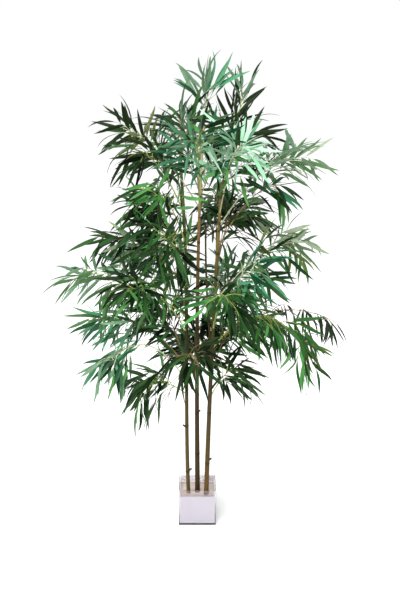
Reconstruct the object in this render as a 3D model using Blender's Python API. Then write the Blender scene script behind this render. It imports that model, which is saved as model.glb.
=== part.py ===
"""Artificial bamboo tree: cane poles set in a clear cube of plaster, with wired boughs of fabric leaves.

The origin is the middle of the cube's underside, +Z is up and the tree's widest spread runs along X.
Each cane is a tapered pole with ridged joints. Each bough arches out of a cane, and the stem of one
mass of leaves carries its curve on to a named tip. Twigs leave the stem on alternate sides, and
leaves leave the twigs in the same way.
"""

import math
import random
from typing import NamedTuple

import bmesh
import bpy
from mathutils import Matrix, Vector
from mathutils.bvhtree import BVHTree
from mathutils.kdtree import KDTree

UP = Vector((0.0, 0.0, 1.0))
GAP = 0.0003  # between one solid and the next
SMALL_STEP = 0.0002  # share of a branch's curve
NEARLY_UPRIGHT = 0.1  # sine of the angle to the vertical within which a direction counts as upright
SHARP_ANGLE = 50.0  # degrees, as every angle here; a wider edge isn't shaded smooth
CLEAR = 0.0012  # between the leaves or twigs of two masses, and from them to a limb

# The planter: an open cube of clear acrylic, and the white plaster in it.
CUBE_SIDE = 0.148
CUBE_WALL = 0.005
CUBE_FLOOR = 0.006
CUBE_EDGE = 0.0008
FILL_BELOW_RIM = 0.027
FILL_TOP = CUBE_SIDE - FILL_BELOW_RIM
GROUND = FILL_TOP + GAP  # the flat cut under the canes

# Canes
CANE_SIDES = 7
CANE_FLARE = 1.14  # how much wider a cane's foot is than the cane just above it
FLARE_HEIGHT = 0.014
JOINT_RIDGE = 0.0011  # how far a joint stands out of its cane
JOINT_HALF = 0.004
RING_SPACING = 0.13
HALVINGS = 40  # steps in the search for the place on a cane at a height
STUB_SIDES = 5
STUB_TAPER = 0.85

# Boughs, stems and twigs
BOUGH_SIDES = 4
BOUGH_RINGS = 5
STEM_RINGS = 5
BOUGH_RADIUS = 0.0032
JOIN_RADIUS = 0.0026  # where a bough hands over to the stem of its mass
TIP_RADIUS = 0.0017
TWIG_SIDES = 3
TWIG_ROOT_RADIUS = 0.0009  # at the middle of the stem that it is sunk in
TWIG_RADIUS = 0.0017
TWIG_TIP_RADIUS = 0.0014
TWIG_ROOT = 0.010  # length over which a twig reaches its full width
TWIG_SPACING = 0.060
FEWEST_TWIGS = 3
MOST_TWIGS = 6
FIRST_TWIG = 0.08  # shares of the stem's length
FIRST_TWIG_AT_CANE = 0.20
LAST_TWIG = 0.86
TWIG_LENGTH = 0.120
TWIG_END_LENGTH = 0.070  # of the twig nearest the stem's tip
TWIG_SIZE_SPREAD = 0.15
LONGEST_TWIG = 0.6  # share of its stem's length
TWIG_ANGLE = 48.0
TWIG_ANGLE_SPREAD = 12.0
TWIG_ROLL_SPREAD = 75.0
TWIG_HANG = 0.3  # how much of its leaves' hang a twig takes
TWIG_STEP = 0.012  # between the points that mark out a mass's space

# Leaves
LEAF_LENGTH = 0.148
LEAF_WIDTH = 0.023
LEAF_RIDGE = 0.0022  # thickness under the midrib, where the leaf is widest
LEAF_BEND = 0.07  # drop of the tip below the line of the root's half, as a share of the length
LEAF_SUNK = 0.0008  # how far a leaf's root lies behind the middle of its twig
END_LEAF_SUNK = 0.0030  # the same for the last leaf, back from the end of its twig
LEAF_WIDEST = 0.36  # share of the length
LEAF_SIZE_SPREAD = 0.12
LEAF_ANGLE = 38.0
LEAF_ANGLE_SPREAD = 12.0
END_LEAF_ANGLE = 9.0
SPRAY_ROLL_SPREAD = 90.0  # how far the leaves of one twig turn about it together
FAN_SPREAD = 20.0  # the same for the leaves at the end of a stem, about the branch's own `fan`
LEAF_ROLL_SPREAD = 28.0
LEAF_FACE_SPREAD = 38.0  # how far a blade turns about its own midrib, out of its spray
LEAF_HANG_SPREAD = 0.4
LEAF_REACH_TEST = 0.6  # share of a leaf that has to be in its own mass's space
TWIG_STATIONS = (0.40, 0.62, 0.84)
STEM_STATIONS = (0.80, 0.91)
TRIES = 12


class Finish(NamedTuple):
    """Colour and surface of one material."""

    name: str
    colour: tuple[float, float, float]
    roughness: float


CLEAR_ACRYLIC = Finish("clear_acrylic", (0.86, 0.87, 0.93), 0.08)
WHITE_PLASTER = Finish("white_plaster", (0.80, 0.77, 0.82), 0.75)
OLIVE_CANE = Finish("olive_cane", (0.30, 0.23, 0.07), 0.55)
GOLDEN_CANE = Finish("golden_cane", (0.40, 0.24, 0.09), 0.5)
DARK_CANE = Finish("dark_cane", (0.10, 0.07, 0.03), 0.6)
WRAPPED_WIRE = Finish("wrapped_wire", (0.30, 0.32, 0.08), 0.65)
GREEN_FABRIC = Finish("green_fabric", (0.05, 0.21, 0.10), 0.7)


class Cane(NamedTuple):
    """A pole along a cubic Bezier curve, given by its four control points."""

    name: str
    path: tuple[tuple[float, float, float], ...]
    foot_radius: float
    tip_radius: float
    joint_spacing: float
    finish: Finish
    joint_first: float = 0.09  # from the foot to the first joint


class Stub(NamedTuple):
    """The cut end of a side shoot, left on a cane."""

    cane: str
    height: float
    azimuth: float
    rise: float
    length: float
    radius: float


class Branch(NamedTuple):
    """A bough and its mass of leaves, or a mass alone where `bough` is nought.

    `root` is the height at which it leaves its cane, `tip` the place of its stem's end, `arch` its rise
    above the straight line between them, `bough` the bough's share of that curve, `hang` how far the
    leaves turn down, and `fan` how steeply the leaves at the stem's end are fanned, from lying level.
    """

    name: str
    cane: str
    root: float
    tip: tuple[float, float, float]
    arch: float
    bough: float
    hang: float
    fan: float


CANES = (
    Cane(
        "cane_left",
        ((-0.035, -0.034, GROUND), (-0.052, -0.020, 0.50), (-0.025, 0.010, 0.95), (-0.062, 0.030, 1.42)),
        0.0078,
        0.0058,
        0.19,
        OLIVE_CANE,
    ),
    Cane(
        "cane_middle",
        ((0.001, -0.024, GROUND), (-0.002, -0.010, 0.60), (-0.006, 0.004, 1.15), (0.028, 0.008, 1.60)),
        0.0100,
        0.0042,
        0.17,
        GOLDEN_CANE,
        0.16,
    ),
    Cane(
        "cane_right",
        ((0.036, -0.046, GROUND), (0.046, -0.050, 0.50), (0.066, -0.030, 0.95), (0.092, -0.020, 1.36)),
        0.0096,
        0.0056,
        0.21,
        GOLDEN_CANE,
        0.132,
    ),
    Cane(
        "cane_thin",
        ((0.0529, -0.0279, 0.74), (0.040, -0.012, 0.86), (0.030, 0.004, 1.03), (0.033, 0.008, 1.20)),
        0.0042,
        0.0036,
        0.16,
        DARK_CANE,
    ),
)

STUBS = (
    Stub("cane_left", 0.213, 0.0, 35.0, 0.012, 0.0036),
    Stub("cane_left", 0.393, 180.0, 40.0, 0.014, 0.0034),
    Stub("cane_left", 1.405, 185.0, 5.0, 0.050, 0.0042),
    Stub("cane_right", 0.262, 10.0, 35.0, 0.012, 0.0036),
    Stub("cane_middle", 0.4515, 20.0, 40.0, 0.010, 0.0030),
)

BRANCHES = (
    Branch("top", "cane_middle", 1.60, (0.036, 0.010, 1.705), 0.0, 0.0, -0.35, 90),
    Branch("upper_left_far", "cane_middle", 1.26, (-0.275, 0.020, 1.555), 0.05, 0.28, 0.12, 80),
    Branch("upper_left_low", "cane_left", 1.24, (-0.215, -0.120, 1.480), 0.05, 0.20, 0.35, 40),
    Branch("upper_left_inner", "cane_left", 1.42, (-0.055, -0.020, 1.600), 0.0, 0.0, 0.10, 70),
    Branch("upper_right_inner", "cane_middle", 1.30, (0.185, 0.050, 1.672), 0.02, 0.0, -0.25, 80),
    Branch("upper_right", "cane_right", 1.36, (0.190, -0.050, 1.545), 0.01, 0.0, 0.0, 80),
    Branch("upper_right_front", "cane_right", 1.24, (0.150, -0.230, 1.490), 0.05, 0.0, 0.20, 20),
    Branch("upper_front", "cane_middle", 1.26, (0.000, -0.250, 1.530), 0.05, 0.0, 0.15, 20),
    Branch("upper_back", "cane_middle", 1.28, (-0.030, 0.260, 1.540), 0.05, 0.20, 0.15, 20),
    Branch("left_high", "cane_left", 1.06, (-0.240, 0.000, 1.275), 0.05, 0.0, 0.40, 50),
    Branch("left_high_front", "cane_left", 1.13, (-0.150, -0.220, 1.330), 0.05, 0.20, 0.40, 30),
    Branch("right_high_far", "cane_right", 1.19, (0.390, 0.000, 1.440), 0.07, 0.30, 0.05, 85),
    Branch("right_high", "cane_right", 1.11, (0.295, -0.150, 1.360), 0.06, 0.20, 0.45, 50),
    Branch("right_high_low", "cane_right", 1.02, (0.160, 0.100, 1.270), 0.05, 0.0, 0.45, 40),
    Branch("back_high", "cane_right", 1.00, (0.080, 0.300, 1.320), 0.06, 0.20, 0.30, 20),
    Branch("left_back", "cane_left", 0.94, (-0.355, 0.150, 1.110), 0.08, 0.20, 0.30, 40),
    Branch("front_left", "cane_left", 0.96, (-0.130, -0.310, 1.190), 0.06, 0.20, 0.35, 20),
    Branch("left_far", "cane_left", 0.84, (-0.470, -0.020, 1.005), 0.05, 0.26, 0.38, 70),
    Branch("left_front", "cane_left", 0.78, (-0.260, -0.200, 0.980), 0.07, 0.20, 0.40, 40),
    Branch("left_inner", "cane_left", 0.63, (-0.170, 0.090, 0.835), 0.08, 0.0, 0.35, 40),
    Branch("right_mid", "cane_right", 0.90, (0.410, 0.040, 1.125), 0.07, 0.24, 0.35, 75),
    Branch("right_front", "cane_right", 0.84, (0.230, -0.190, 1.050), 0.06, 0.20, 0.40, 30),
    Branch("back_left", "cane_left", 0.86, (-0.170, 0.320, 1.060), 0.07, 0.20, 0.35, 20),
    Branch("back_right", "cane_right", 0.76, (0.140, 0.340, 0.940), 0.08, 0.20, 0.35, 20),
    Branch("front_right", "cane_right", 0.80, (0.110, -0.330, 0.970), 0.07, 0.20, 0.40, 20),
    Branch("right_low_far", "cane_right", 0.74, (0.550, 0.070, 0.800), 0.09, 0.42, 0.85, 0),
    Branch("right_low", "cane_right", 0.72, (0.450, -0.110, 0.665), 0.17, 0.22, 0.65, 60),
    Branch("right_inner", "cane_right", 0.62, (0.220, 0.160, 0.800), 0.08, 0.0, 0.45, 40),
    Branch("left_low_far", "cane_left", 0.64, (-0.410, 0.070, 0.790), 0.09, 0.38, 0.35, 60),
    Branch("left_low", "cane_left", 0.58, (-0.350, -0.100, 0.665), 0.12, 0.42, 0.65, 50),
    Branch("left_low_inner", "cane_left", 0.53, (-0.230, -0.030, 0.545), 0.04, 0.0, 0.65, 50),
    Branch("right_low_inner", "cane_right", 0.52, (0.150, -0.050, 0.645), 0.03, 0.0, 0.45, 50),
    Branch("front_low", "cane_middle", 0.55, (-0.030, -0.240, 0.755), 0.06, 0.0, 0.50, 20),
    Branch("back_low", "cane_middle", 0.50, (0.000, 0.280, 0.690), 0.09, 0.0, 0.50, 20),
)


class Shoot(NamedTuple):
    """A tapering centreline: a bough, a stem or a twig."""

    points: list[Vector]
    radii: list[float]
    sides: int
    start_axis: Vector | None = None


class Leaf(NamedTuple):
    """A blade: where it is rooted, the way it points, the way it faces, and its size."""

    root: Vector
    along: Vector
    face: Vector
    length: float
    width: float


Growth = dict[str, dict[str, Shoot]]  # by mass, then by which shoot of the mass


# ---------------------------------------------------------------------------------------------
# Scene and mesh helpers


def clear_scene() -> None:
    """Removes the objects of the scene that the script is started in."""
    for old in list(bpy.data.objects):
        bpy.data.objects.remove(old, do_unlink=True)


def material(finish: Finish) -> bpy.types.Material:
    """The Principled material of a finish, made once."""
    if finish.name in bpy.data.materials:
        return bpy.data.materials[finish.name]
    made = bpy.data.materials.new(finish.name)
    made.use_nodes = True
    shader = made.node_tree.nodes["Principled BSDF"]
    shader.inputs["Base Color"].default_value = (*finish.colour, 1.0)
    shader.inputs["Roughness"].default_value = finish.roughness
    shader.inputs["Metallic"].default_value = 0.0
    return made


def new_object(
    name: str, shape: bmesh.types.BMesh, finish: Finish, smooth: bool = False
) -> bpy.types.Object:
    """An object of the scene made from a bmesh, which it frees."""
    mesh = bpy.data.meshes.new(name)
    shape.to_mesh(mesh)
    shape.free()
    mesh.materials.append(material(finish))
    if smooth:
        mesh.shade_smooth()
        mesh.set_sharp_from_angle(angle=math.radians(SHARP_ANGLE))
    made = bpy.data.objects.new(name, mesh)
    bpy.context.scene.collection.objects.link(made)
    return made


def level_across(axis: Vector) -> Vector:
    """The level direction square to an axis, or +X where the axis is upright."""
    across = axis.normalized().cross(UP)
    return across.normalized() if across.length > NEARLY_UPRIGHT else Vector((1.0, 0.0, 0.0))


def ring_axes(points: list[Vector], ends: tuple[Vector | None, Vector | None]) -> list[Vector]:
    """The way a line runs at each of its points, with what `ends` gives for the first and the last."""
    steps = [(after - before).normalized() for before, after in zip(points, points[1:])]
    inner = [(before + after).normalized() for before, after in zip(steps, steps[1:])]
    return [ends[0] or steps[0], *inner, ends[1] or steps[-1]]


def add_tube(
    shape: bmesh.types.BMesh,
    points: list[Vector],
    radii: list[float],
    sides: int,
    ends: tuple[Vector | None, Vector | None] = (None, None),
) -> None:
    """A closed tube round a line of points, with a ring square to it at each; `ends` turn the end rings."""
    across = level_across(points[1] - points[0])
    rings = []
    for point, radius, axis in zip(points, radii, ring_axes(points, ends)):
        across = (across - axis * across.dot(axis)).normalized()
        beside = axis.cross(across)
        ring = []
        for k in range(sides):
            turn = 2 * math.pi * k / sides
            ring.append(shape.verts.new(point + radius * (math.cos(turn) * across + math.sin(turn) * beside)))
        rings.append(ring)
    for low, high in zip(rings, rings[1:]):
        for k in range(sides):
            after = (k + 1) % sides
            shape.faces.new((low[k], low[after], high[after], high[k]))
    shape.faces.new(rings[0][::-1])
    shape.faces.new(rings[-1])


def tree_of(shape: bmesh.types.BMesh) -> BVHTree:
    """The search tree of a bmesh's faces; it frees the bmesh."""
    tree = BVHTree.FromBMesh(shape)
    shape.free()
    return tree


def joined(
    name: str, pieces: list[bmesh.types.BMesh], finish: Finish, smooth: bool = False
) -> bpy.types.Object:
    """One solid from closed pieces that overlap: a Boolean union, applied."""
    whole = new_object(name, pieces[0], finish, smooth)
    if len(pieces) == 1:
        return whole
    others = bpy.data.collections.new(f"{name}_pieces")
    for i, piece in enumerate(pieces[1:]):
        part = new_object(f"{name}_piece_{i}", piece, finish, smooth)
        bpy.context.scene.collection.objects.unlink(part)
        others.objects.link(part)
    bpy.context.scene.collection.children.link(others)
    union = whole.modifiers.new("union", "BOOLEAN")
    union.operation = "UNION"
    union.operand_type = "COLLECTION"
    union.collection = others
    union.solver = "MANIFOLD"
    graph = bpy.context.evaluated_depsgraph_get()
    mesh = bpy.data.meshes.new_from_object(whole.evaluated_get(graph))
    whole.modifiers.clear()
    whole.data = mesh
    for part in list(others.objects):
        bpy.data.objects.remove(part, do_unlink=True)
    bpy.data.collections.remove(others)
    return whole


# ---------------------------------------------------------------------------------------------
# Planter


def build_cube() -> None:
    """The open cube: a block whose top is inset and pushed down to the inside of its floor."""
    shape = bmesh.new()
    bmesh.ops.create_cube(shape, size=CUBE_SIDE, matrix=Matrix.Translation((0, 0, CUBE_SIDE / 2)))
    bmesh.ops.bevel(shape, geom=shape.edges[:], offset=CUBE_EDGE, segments=1, affect="EDGES")
    top = max(shape.faces, key=lambda face: face.calc_center_median().z)
    bmesh.ops.inset_region(shape, faces=[top], thickness=CUBE_WALL - CUBE_EDGE)
    pushed = bmesh.ops.extrude_discrete_faces(shape, faces=[top])["faces"][0]
    for corner in pushed.verts:
        corner.co.z = CUBE_FLOOR
    new_object("glass_cube", shape, CLEAR_ACRYLIC)


def build_fill() -> None:
    """The block of plaster that fills the cube to a little below its rim."""
    side = CUBE_SIDE - 2 * (CUBE_WALL + GAP)
    low = CUBE_FLOOR + GAP
    shape = bmesh.new()
    bmesh.ops.create_cube(shape, size=1.0)
    for corner in shape.verts:
        corner.co = (corner.co.x * side, corner.co.y * side, low if corner.co.z < 0 else FILL_TOP)
    new_object("plaster_fill", shape, WHITE_PLASTER)


# ---------------------------------------------------------------------------------------------
# Canes


def bezier(path: tuple[tuple[float, float, float], ...], t: float) -> Vector:
    """The point at share t of a cubic Bezier curve."""
    a, b, c, d = (Vector(point) for point in path)
    s = 1.0 - t
    return a * s**3 + b * (3 * s * s * t) + c * (3 * s * t * t) + d * t**3


def cane_centre(cane: Cane, height: float) -> Vector:
    """The middle of a cane at a height, found by halving, since a cane always rises."""
    low, high = 0.0, 1.0
    for _ in range(HALVINGS):
        middle = (low + high) / 2
        if bezier(cane.path, middle).z < height:
            low = middle
        else:
            high = middle
    return bezier(cane.path, (low + high) / 2)


def cane_joints(cane: Cane) -> list[float]:
    """Heights of a cane's ridged joints."""
    foot, tip = cane.path[0][2], cane.path[-1][2]
    count = int((tip - foot - cane.joint_first - JOINT_HALF) / cane.joint_spacing) + 1
    return [foot + cane.joint_first + i * cane.joint_spacing for i in range(count)]


def cane_radius(cane: Cane, height: float) -> float:
    """The radius of a cane's smooth length at a height."""
    foot, tip = cane.path[0][2], cane.path[-1][2]
    share = min(max((height - foot) / (tip - foot), 0.0), 1.0)
    return cane.foot_radius + (cane.tip_radius - cane.foot_radius) * share


def cane_rings(cane: Cane) -> list[tuple[float, float]]:
    """(height, radius) of every ring: the flared foot, the joints and the smooth length between."""
    foot, tip = cane.path[0][2], cane.path[-1][2]
    flare = CANE_FLARE if foot == GROUND else 1.0
    rings = {foot: cane_radius(cane, foot) * flare, tip: cane.tip_radius}
    rings[foot + FLARE_HEIGHT] = cane_radius(cane, foot + FLARE_HEIGHT)
    for joint in cane_joints(cane):
        rings[joint - JOINT_HALF] = cane_radius(cane, joint)
        rings[joint] = cane_radius(cane, joint) + JOINT_RIDGE
        rings[joint + JOINT_HALF] = cane_radius(cane, joint)
    heights = sorted(rings)
    for low, high in zip(heights, heights[1:]):
        if high - low > RING_SPACING:
            rings[(low + high) / 2] = cane_radius(cane, (low + high) / 2)
    return sorted(rings.items())


def cane_tube(cane: Cane) -> bmesh.types.BMesh:
    """A cane's own mesh, cut level at its foot and its tip."""
    rings = cane_rings(cane)
    centres = [cane_centre(cane, height) for height, _ in rings]
    centres[0].z, centres[-1].z = cane.path[0][2], cane.path[-1][2]
    shape = bmesh.new()
    add_tube(shape, centres, [radius for _, radius in rings], CANE_SIDES, (UP, UP))
    return shape


def stub_tube(cane: Cane, stub: Stub) -> bmesh.types.BMesh:
    """A cut side shoot, from the middle of its cane outwards."""
    azimuth, rise = math.radians(stub.azimuth), math.radians(stub.rise)
    out = Vector((math.cos(azimuth) * math.cos(rise), math.sin(azimuth) * math.cos(rise), math.sin(rise)))
    start = cane_centre(cane, stub.height)
    end = start + out * (cane_radius(cane, stub.height) + stub.length)
    shape = bmesh.new()
    add_tube(shape, [start, end], [stub.radius, stub.radius * STUB_TAPER], STUB_SIDES)
    return shape


def build_canes() -> tuple[dict[str, BVHTree], list[BVHTree]]:
    """Every cane with its stubs; gives search trees of their skins, and of the room round each."""
    skins, rooms = {}, []
    for cane in CANES:
        stubs = [stub_tube(cane, stub) for stub in STUBS if stub.cane == cane.name]
        whole = joined(cane.name, [cane_tube(cane), *stubs], cane.finish, smooth=True)
        skin = bmesh.new()
        skin.from_mesh(whole.data)
        room = skin.copy()
        room.normal_update()
        for corner in room.verts:
            corner.co += corner.normal * CLEAR
        skins[cane.name] = tree_of(skin)
        rooms.append(tree_of(room))
    return skins, rooms


# ---------------------------------------------------------------------------------------------
# Boughs, and the curve that a bough and its mass's stem share


def cane_of(branch: Branch) -> Cane:
    """The cane that a branch leaves."""
    return next(cane for cane in CANES if cane.name == branch.cane)


def branch_point(branch: Branch, t: float) -> Vector:
    """The point at share t of a branch's curve, from the middle of its cane to its tip."""
    root = cane_centre(cane_of(branch), branch.root)
    return root.lerp(Vector(branch.tip), t) + UP * (4 * branch.arch * t * (1 - t))


def branch_axis(branch: Branch, t: float) -> Vector:
    """The direction of a branch's curve at share t."""
    return (branch_point(branch, t + SMALL_STEP) - branch_point(branch, t - SMALL_STEP)).normalized()


def branch_line(branch: Branch, start: float, end: float, rings: int) -> list[Vector]:
    """Evenly spaced points of the curve between two shares."""
    return [branch_point(branch, start + (end - start) * i / (rings - 1)) for i in range(rings)]


def tapered(first: float, last: float, count: int) -> list[float]:
    """Radii from the first to the last."""
    return [first + (last - first) * i / (count - 1) for i in range(count)]


def shoot_shape(shoot: Shoot, extra: float = 0.0, end_axis: Vector | None = None) -> bmesh.types.BMesh:
    """A shoot's own mesh, made wider by `extra`."""
    shape = bmesh.new()
    radii = [radius + extra for radius in shoot.radii]
    add_tube(shape, shoot.points, radii, shoot.sides, (shoot.start_axis, end_axis))
    return shape


def first_limb(branch: Branch, start: float) -> Shoot:
    """The limb that leaves the cane: the bough, or the stem where there is no bough."""
    end, radii = 1.0, tapered(JOIN_RADIUS, TIP_RADIUS, STEM_RINGS)
    if branch.bough:
        end, radii = branch.bough, tapered(BOUGH_RADIUS, JOIN_RADIUS, BOUGH_RINGS)
    return Shoot(branch_line(branch, start, end, len(radii)), radii, BOUGH_SIDES)


def height_over(skin: BVHTree, point: Vector) -> float:
    """How far a point lies outside a skin, or less than nought inside it."""
    nearest, normal, _, away = skin.find_nearest(point)
    return away if (point - nearest).dot(normal) > 0.0 else -away


def branch_start(branch: Branch, skin: BVHTree) -> float:
    """The share of its curve at which a branch starts, a gap out of its cane's skin."""
    t = 0.0
    while t < 1.0:
        t += SMALL_STEP
        shape = shoot_shape(first_limb(branch, t))
        ring = [corner.co.copy() for corner in list(shape.verts)[:BOUGH_SIDES]]
        shape.free()
        middles = [(one + other) / 2 for one, other in zip(ring, ring[1:] + ring[:1])]
        if min(height_over(skin, point) for point in ring + middles) >= GAP:
            return t
    raise ValueError(f"{branch.name} never leaves its cane")


def build_boughs(starts: dict[str, float]) -> list[BVHTree]:
    """Every bough; gives the search trees of their outsides."""
    trees = []
    for branch in BRANCHES:
        if not branch.bough:
            continue
        limb = first_limb(branch, starts[branch.name])
        shape = shoot_shape(limb, end_axis=branch_axis(branch, branch.bough))
        new_object(f"bough_{branch.name}", shape, WRAPPED_WIRE, smooth=True)
        trees.append(tree_of(shoot_shape(limb, CLEAR)))
    return trees


def stem_of(branch: Branch, start: float) -> Shoot:
    """The stem of a branch's mass: it starts a gap past the bough, or past the cane."""
    on_tip = branch.root >= cane_of(branch).path[-1][2]
    if not (branch.bough or on_tip):
        return first_limb(branch, start)
    line = branch_line(branch, branch.bough, 1.0, STEM_RINGS)
    axis = UP if on_tip else branch_axis(branch, branch.bough)
    line[0] += axis * GAP
    return Shoot(line, tapered(JOIN_RADIUS, TIP_RADIUS, STEM_RINGS), BOUGH_SIDES, axis)


# ---------------------------------------------------------------------------------------------
# Twigs and leaves


def along_line(points: list[Vector], share: float) -> tuple[Vector, Vector]:
    """The place and direction at a share of a line."""
    spot = share * (len(points) - 1)
    i = min(int(spot), len(points) - 2)
    return points[i].lerp(points[i + 1], spot - i), (points[i + 1] - points[i]).normalized()


def turned_out(axis: Vector, side: float, angle: float, roll: float) -> Vector:
    """A direction at an angle off an axis, to its left or right, rolled about the axis."""
    aside = Matrix.Rotation(math.radians(roll), 3, axis) @ level_across(axis)
    return math.cos(math.radians(angle)) * axis + math.sin(math.radians(angle)) * side * aside


def spread(rng: random.Random, middle: float, width: float) -> float:
    """A seeded draw from a range, given by its middle and half its width."""
    return middle + rng.uniform(-width, width)


def line_length(points: list[Vector]) -> float:
    """The length of a line through points."""
    return sum((after - before).length for before, after in zip(points, points[1:]))


def twig_count(stem: Shoot) -> int:
    """How many twigs a stem has."""
    return min(max(round(line_length(stem.points) / TWIG_SPACING), FEWEST_TWIGS), MOST_TWIGS)


def new_twig(branch: Branch, stem: Shoot, index: int, rng: random.Random) -> Shoot:
    """One draw of the twig with this index."""
    share = index / (twig_count(stem) - 1)
    first = FIRST_TWIG if branch.bough else FIRST_TWIG_AT_CANE
    start, axis = along_line(stem.points, first + (LAST_TWIG - first) * share)
    side = 1.0 if index % 2 else -1.0
    angle = spread(rng, TWIG_ANGLE, TWIG_ANGLE_SPREAD)
    out = turned_out(axis, side, angle, spread(rng, 0.0, TWIG_ROLL_SPREAD))
    out = (out - UP * TWIG_HANG * branch.hang).normalized()
    length = TWIG_LENGTH + (TWIG_END_LENGTH - TWIG_LENGTH) * share
    length = min(length, LONGEST_TWIG * line_length(stem.points)) * spread(rng, 1.0, TWIG_SIZE_SPREAD)
    return Shoot(
        [start, start + out * TWIG_ROOT, start + out * length],
        [TWIG_ROOT_RADIUS, TWIG_RADIUS, TWIG_TIP_RADIUS],
        TWIG_SIDES,
    )


def new_leaf(
    branch: Branch, shoot: Shoot, share: float, side: float, roll: float, rng: random.Random
) -> Leaf:
    """One draw of the leaf at a share of a shoot; at the shoot's end it carries the shoot's line on."""
    root, axis = along_line(shoot.points, share)
    angle = spread(rng, LEAF_ANGLE, LEAF_ANGLE_SPREAD) if share < 1.0 else spread(rng, 0.0, END_LEAF_ANGLE)
    along = turned_out(axis, side, angle, roll + spread(rng, 0.0, LEAF_ROLL_SPREAD))
    along = (along - UP * branch.hang * spread(rng, 1.0, LEAF_HANG_SPREAD)).normalized()
    normal = axis.cross(turned_out(axis, 1.0, 90.0, roll))
    normal = normal if normal.z >= 0.0 else -normal
    turn = math.radians(spread(rng, 0.0, LEAF_FACE_SPREAD))
    face = Matrix.Rotation(turn, 3, along) @ (normal - along * normal.dot(along)).normalized()
    size = spread(rng, 1.0, LEAF_SIZE_SPREAD)
    sunk = END_LEAF_SUNK if share == 1.0 else LEAF_SUNK
    return Leaf(root - along * sunk, along, face, LEAF_LENGTH * size, LEAF_WIDTH * size)


def leaf_shape(leaf: Leaf, extra: float = 0.0) -> bmesh.types.BMesh:
    """A blade with a flat underside, a ridge on top where it is widest and a tip that bends down.

    It is made larger by `extra` on every side.
    """
    across = leaf.along.cross(leaf.face).normalized()
    widest = leaf.root + leaf.along * leaf.length * LEAF_WIDEST
    half_width = across * (leaf.width / 2 + extra)
    low = leaf.face * extra
    corners = (
        leaf.root,
        widest + half_width - low,
        widest - half_width - low,
        widest + leaf.face * (LEAF_RIDGE + extra),
        leaf.root + leaf.along * (leaf.length + extra) - leaf.face * leaf.length * LEAF_BEND,
    )
    shape = bmesh.new()
    root, one, other, ridge, tip = (shape.verts.new(corner) for corner in corners)
    for face in (
        (root, one, ridge),
        (root, ridge, other),
        (root, other, one),
        (tip, ridge, one),
        (tip, other, ridge),
        (tip, one, other),
    ):
        shape.faces.new(face)
    return shape


class Spaces:
    """The spaces that the masses keep to: a place belongs to the mass whose wood lies nearest."""

    def __init__(self, grown: Growth) -> None:
        self.owners = []
        marks = []
        for name, shoots in grown.items():
            for shoot in shoots.values():
                count = max(2, int(line_length(shoot.points) / TWIG_STEP))
                marks += [along_line(shoot.points, i / count)[0] for i in range(count + 1)]
                self.owners += [name] * (count + 1)
        self.tree = KDTree(len(marks))
        for i, mark in enumerate(marks):
            self.tree.insert(mark, i)
        self.tree.balance()

    def holds(self, name: str, leaf: Leaf) -> bool:
        """Whether a leaf reaches into no other mass's space."""
        test = leaf.root + leaf.along * leaf.length * LEAF_REACH_TEST
        return self.owners[self.tree.find(test)[1]] == name


def clear_of(shape: BVHTree, trees: list[BVHTree]) -> bool:
    """Whether a shape touches none of these."""
    return not any(shape.overlap(tree) for tree in trees)


def others_of(name: str, wood: dict[str, list[BVHTree]]) -> list[BVHTree]:
    """The wood of every mass but one."""
    return [tree for other, trees in wood.items() if other != name for tree in trees]


def grow_twigs(limbs: list[BVHTree], stems: dict[str, Shoot]) -> tuple[Growth, dict[str, list[BVHTree]]]:
    """The shoots of every mass, the stem as "end" and each twig by number, and their search trees.

    A twig that would touch a limb or another mass's wood is drawn again, and left out in the end.
    """
    grown = {name: {"end": stem} for name, stem in stems.items()}
    wood = {name: [tree_of(shoot_shape(stem, CLEAR))] for name, stem in stems.items()}
    for branch in BRANCHES:
        stem = stems[branch.name]
        obstacles = limbs + others_of(branch.name, wood)
        for index in range(twig_count(stem)):
            rng = random.Random(f"{branch.name} twig {index}")
            for _ in range(TRIES):
                twig = new_twig(branch, stem, index, rng)
                tree = tree_of(shoot_shape(twig, CLEAR))
                if clear_of(tree, obstacles):
                    grown[branch.name][f"{index}"] = twig
                    wood[branch.name].append(tree)
                    break
    return grown, wood


def grow_leaves(
    branch: Branch, shoots: dict[str, Shoot], spaces: Spaces, obstacles: list[BVHTree]
) -> list[Leaf]:
    """The leaves of one mass. A leaf that doesn't fit is drawn again, and left out in the end."""
    leaves = []
    blades: list[BVHTree] = []
    own_wood = {key: tree_of(shoot_shape(shoot)) for key, shoot in shoots.items()}
    for key, shoot in shoots.items():
        rng = random.Random(f"{branch.name} leaves {key}")
        beside = [tree for other, tree in own_wood.items() if other != key]
        at_end = key == "end"
        roll = spread(rng, branch.fan, FAN_SPREAD) if at_end else spread(rng, 0.0, SPRAY_ROLL_SPREAD)
        for index, share in enumerate((*(STEM_STATIONS if at_end else TWIG_STATIONS), 1.0)):
            side = 1.0 if index % 2 else -1.0
            for _ in range(TRIES):
                leaf = new_leaf(branch, shoot, share, side, roll, rng)
                if not spaces.holds(branch.name, leaf):
                    continue
                if not clear_of(tree_of(leaf_shape(leaf, CLEAR)), obstacles):
                    continue
                blade = tree_of(leaf_shape(leaf))
                if clear_of(blade, beside + blades):
                    leaves.append(leaf)
                    blades.append(blade)
                    break
    return leaves


def build_masses(limbs: list[BVHTree], stems: dict[str, Shoot]) -> None:
    """Every mass of leaves: a stem, its twigs and its leaves, kept to their own space and fused."""
    grown, wood = grow_twigs(limbs, stems)
    spaces = Spaces(grown)
    foliage: list[BVHTree] = []
    for branch in BRANCHES:
        shoots = grown[branch.name]
        obstacles = limbs + others_of(branch.name, wood) + foliage
        leaves = grow_leaves(branch, shoots, spaces, obstacles)
        foliage += [tree_of(leaf_shape(leaf)) for leaf in leaves]
        pieces = [shoot_shape(shoot) for shoot in shoots.values()] + [leaf_shape(leaf) for leaf in leaves]
        joined(f"leaves_{branch.name}", pieces, GREEN_FABRIC)


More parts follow.
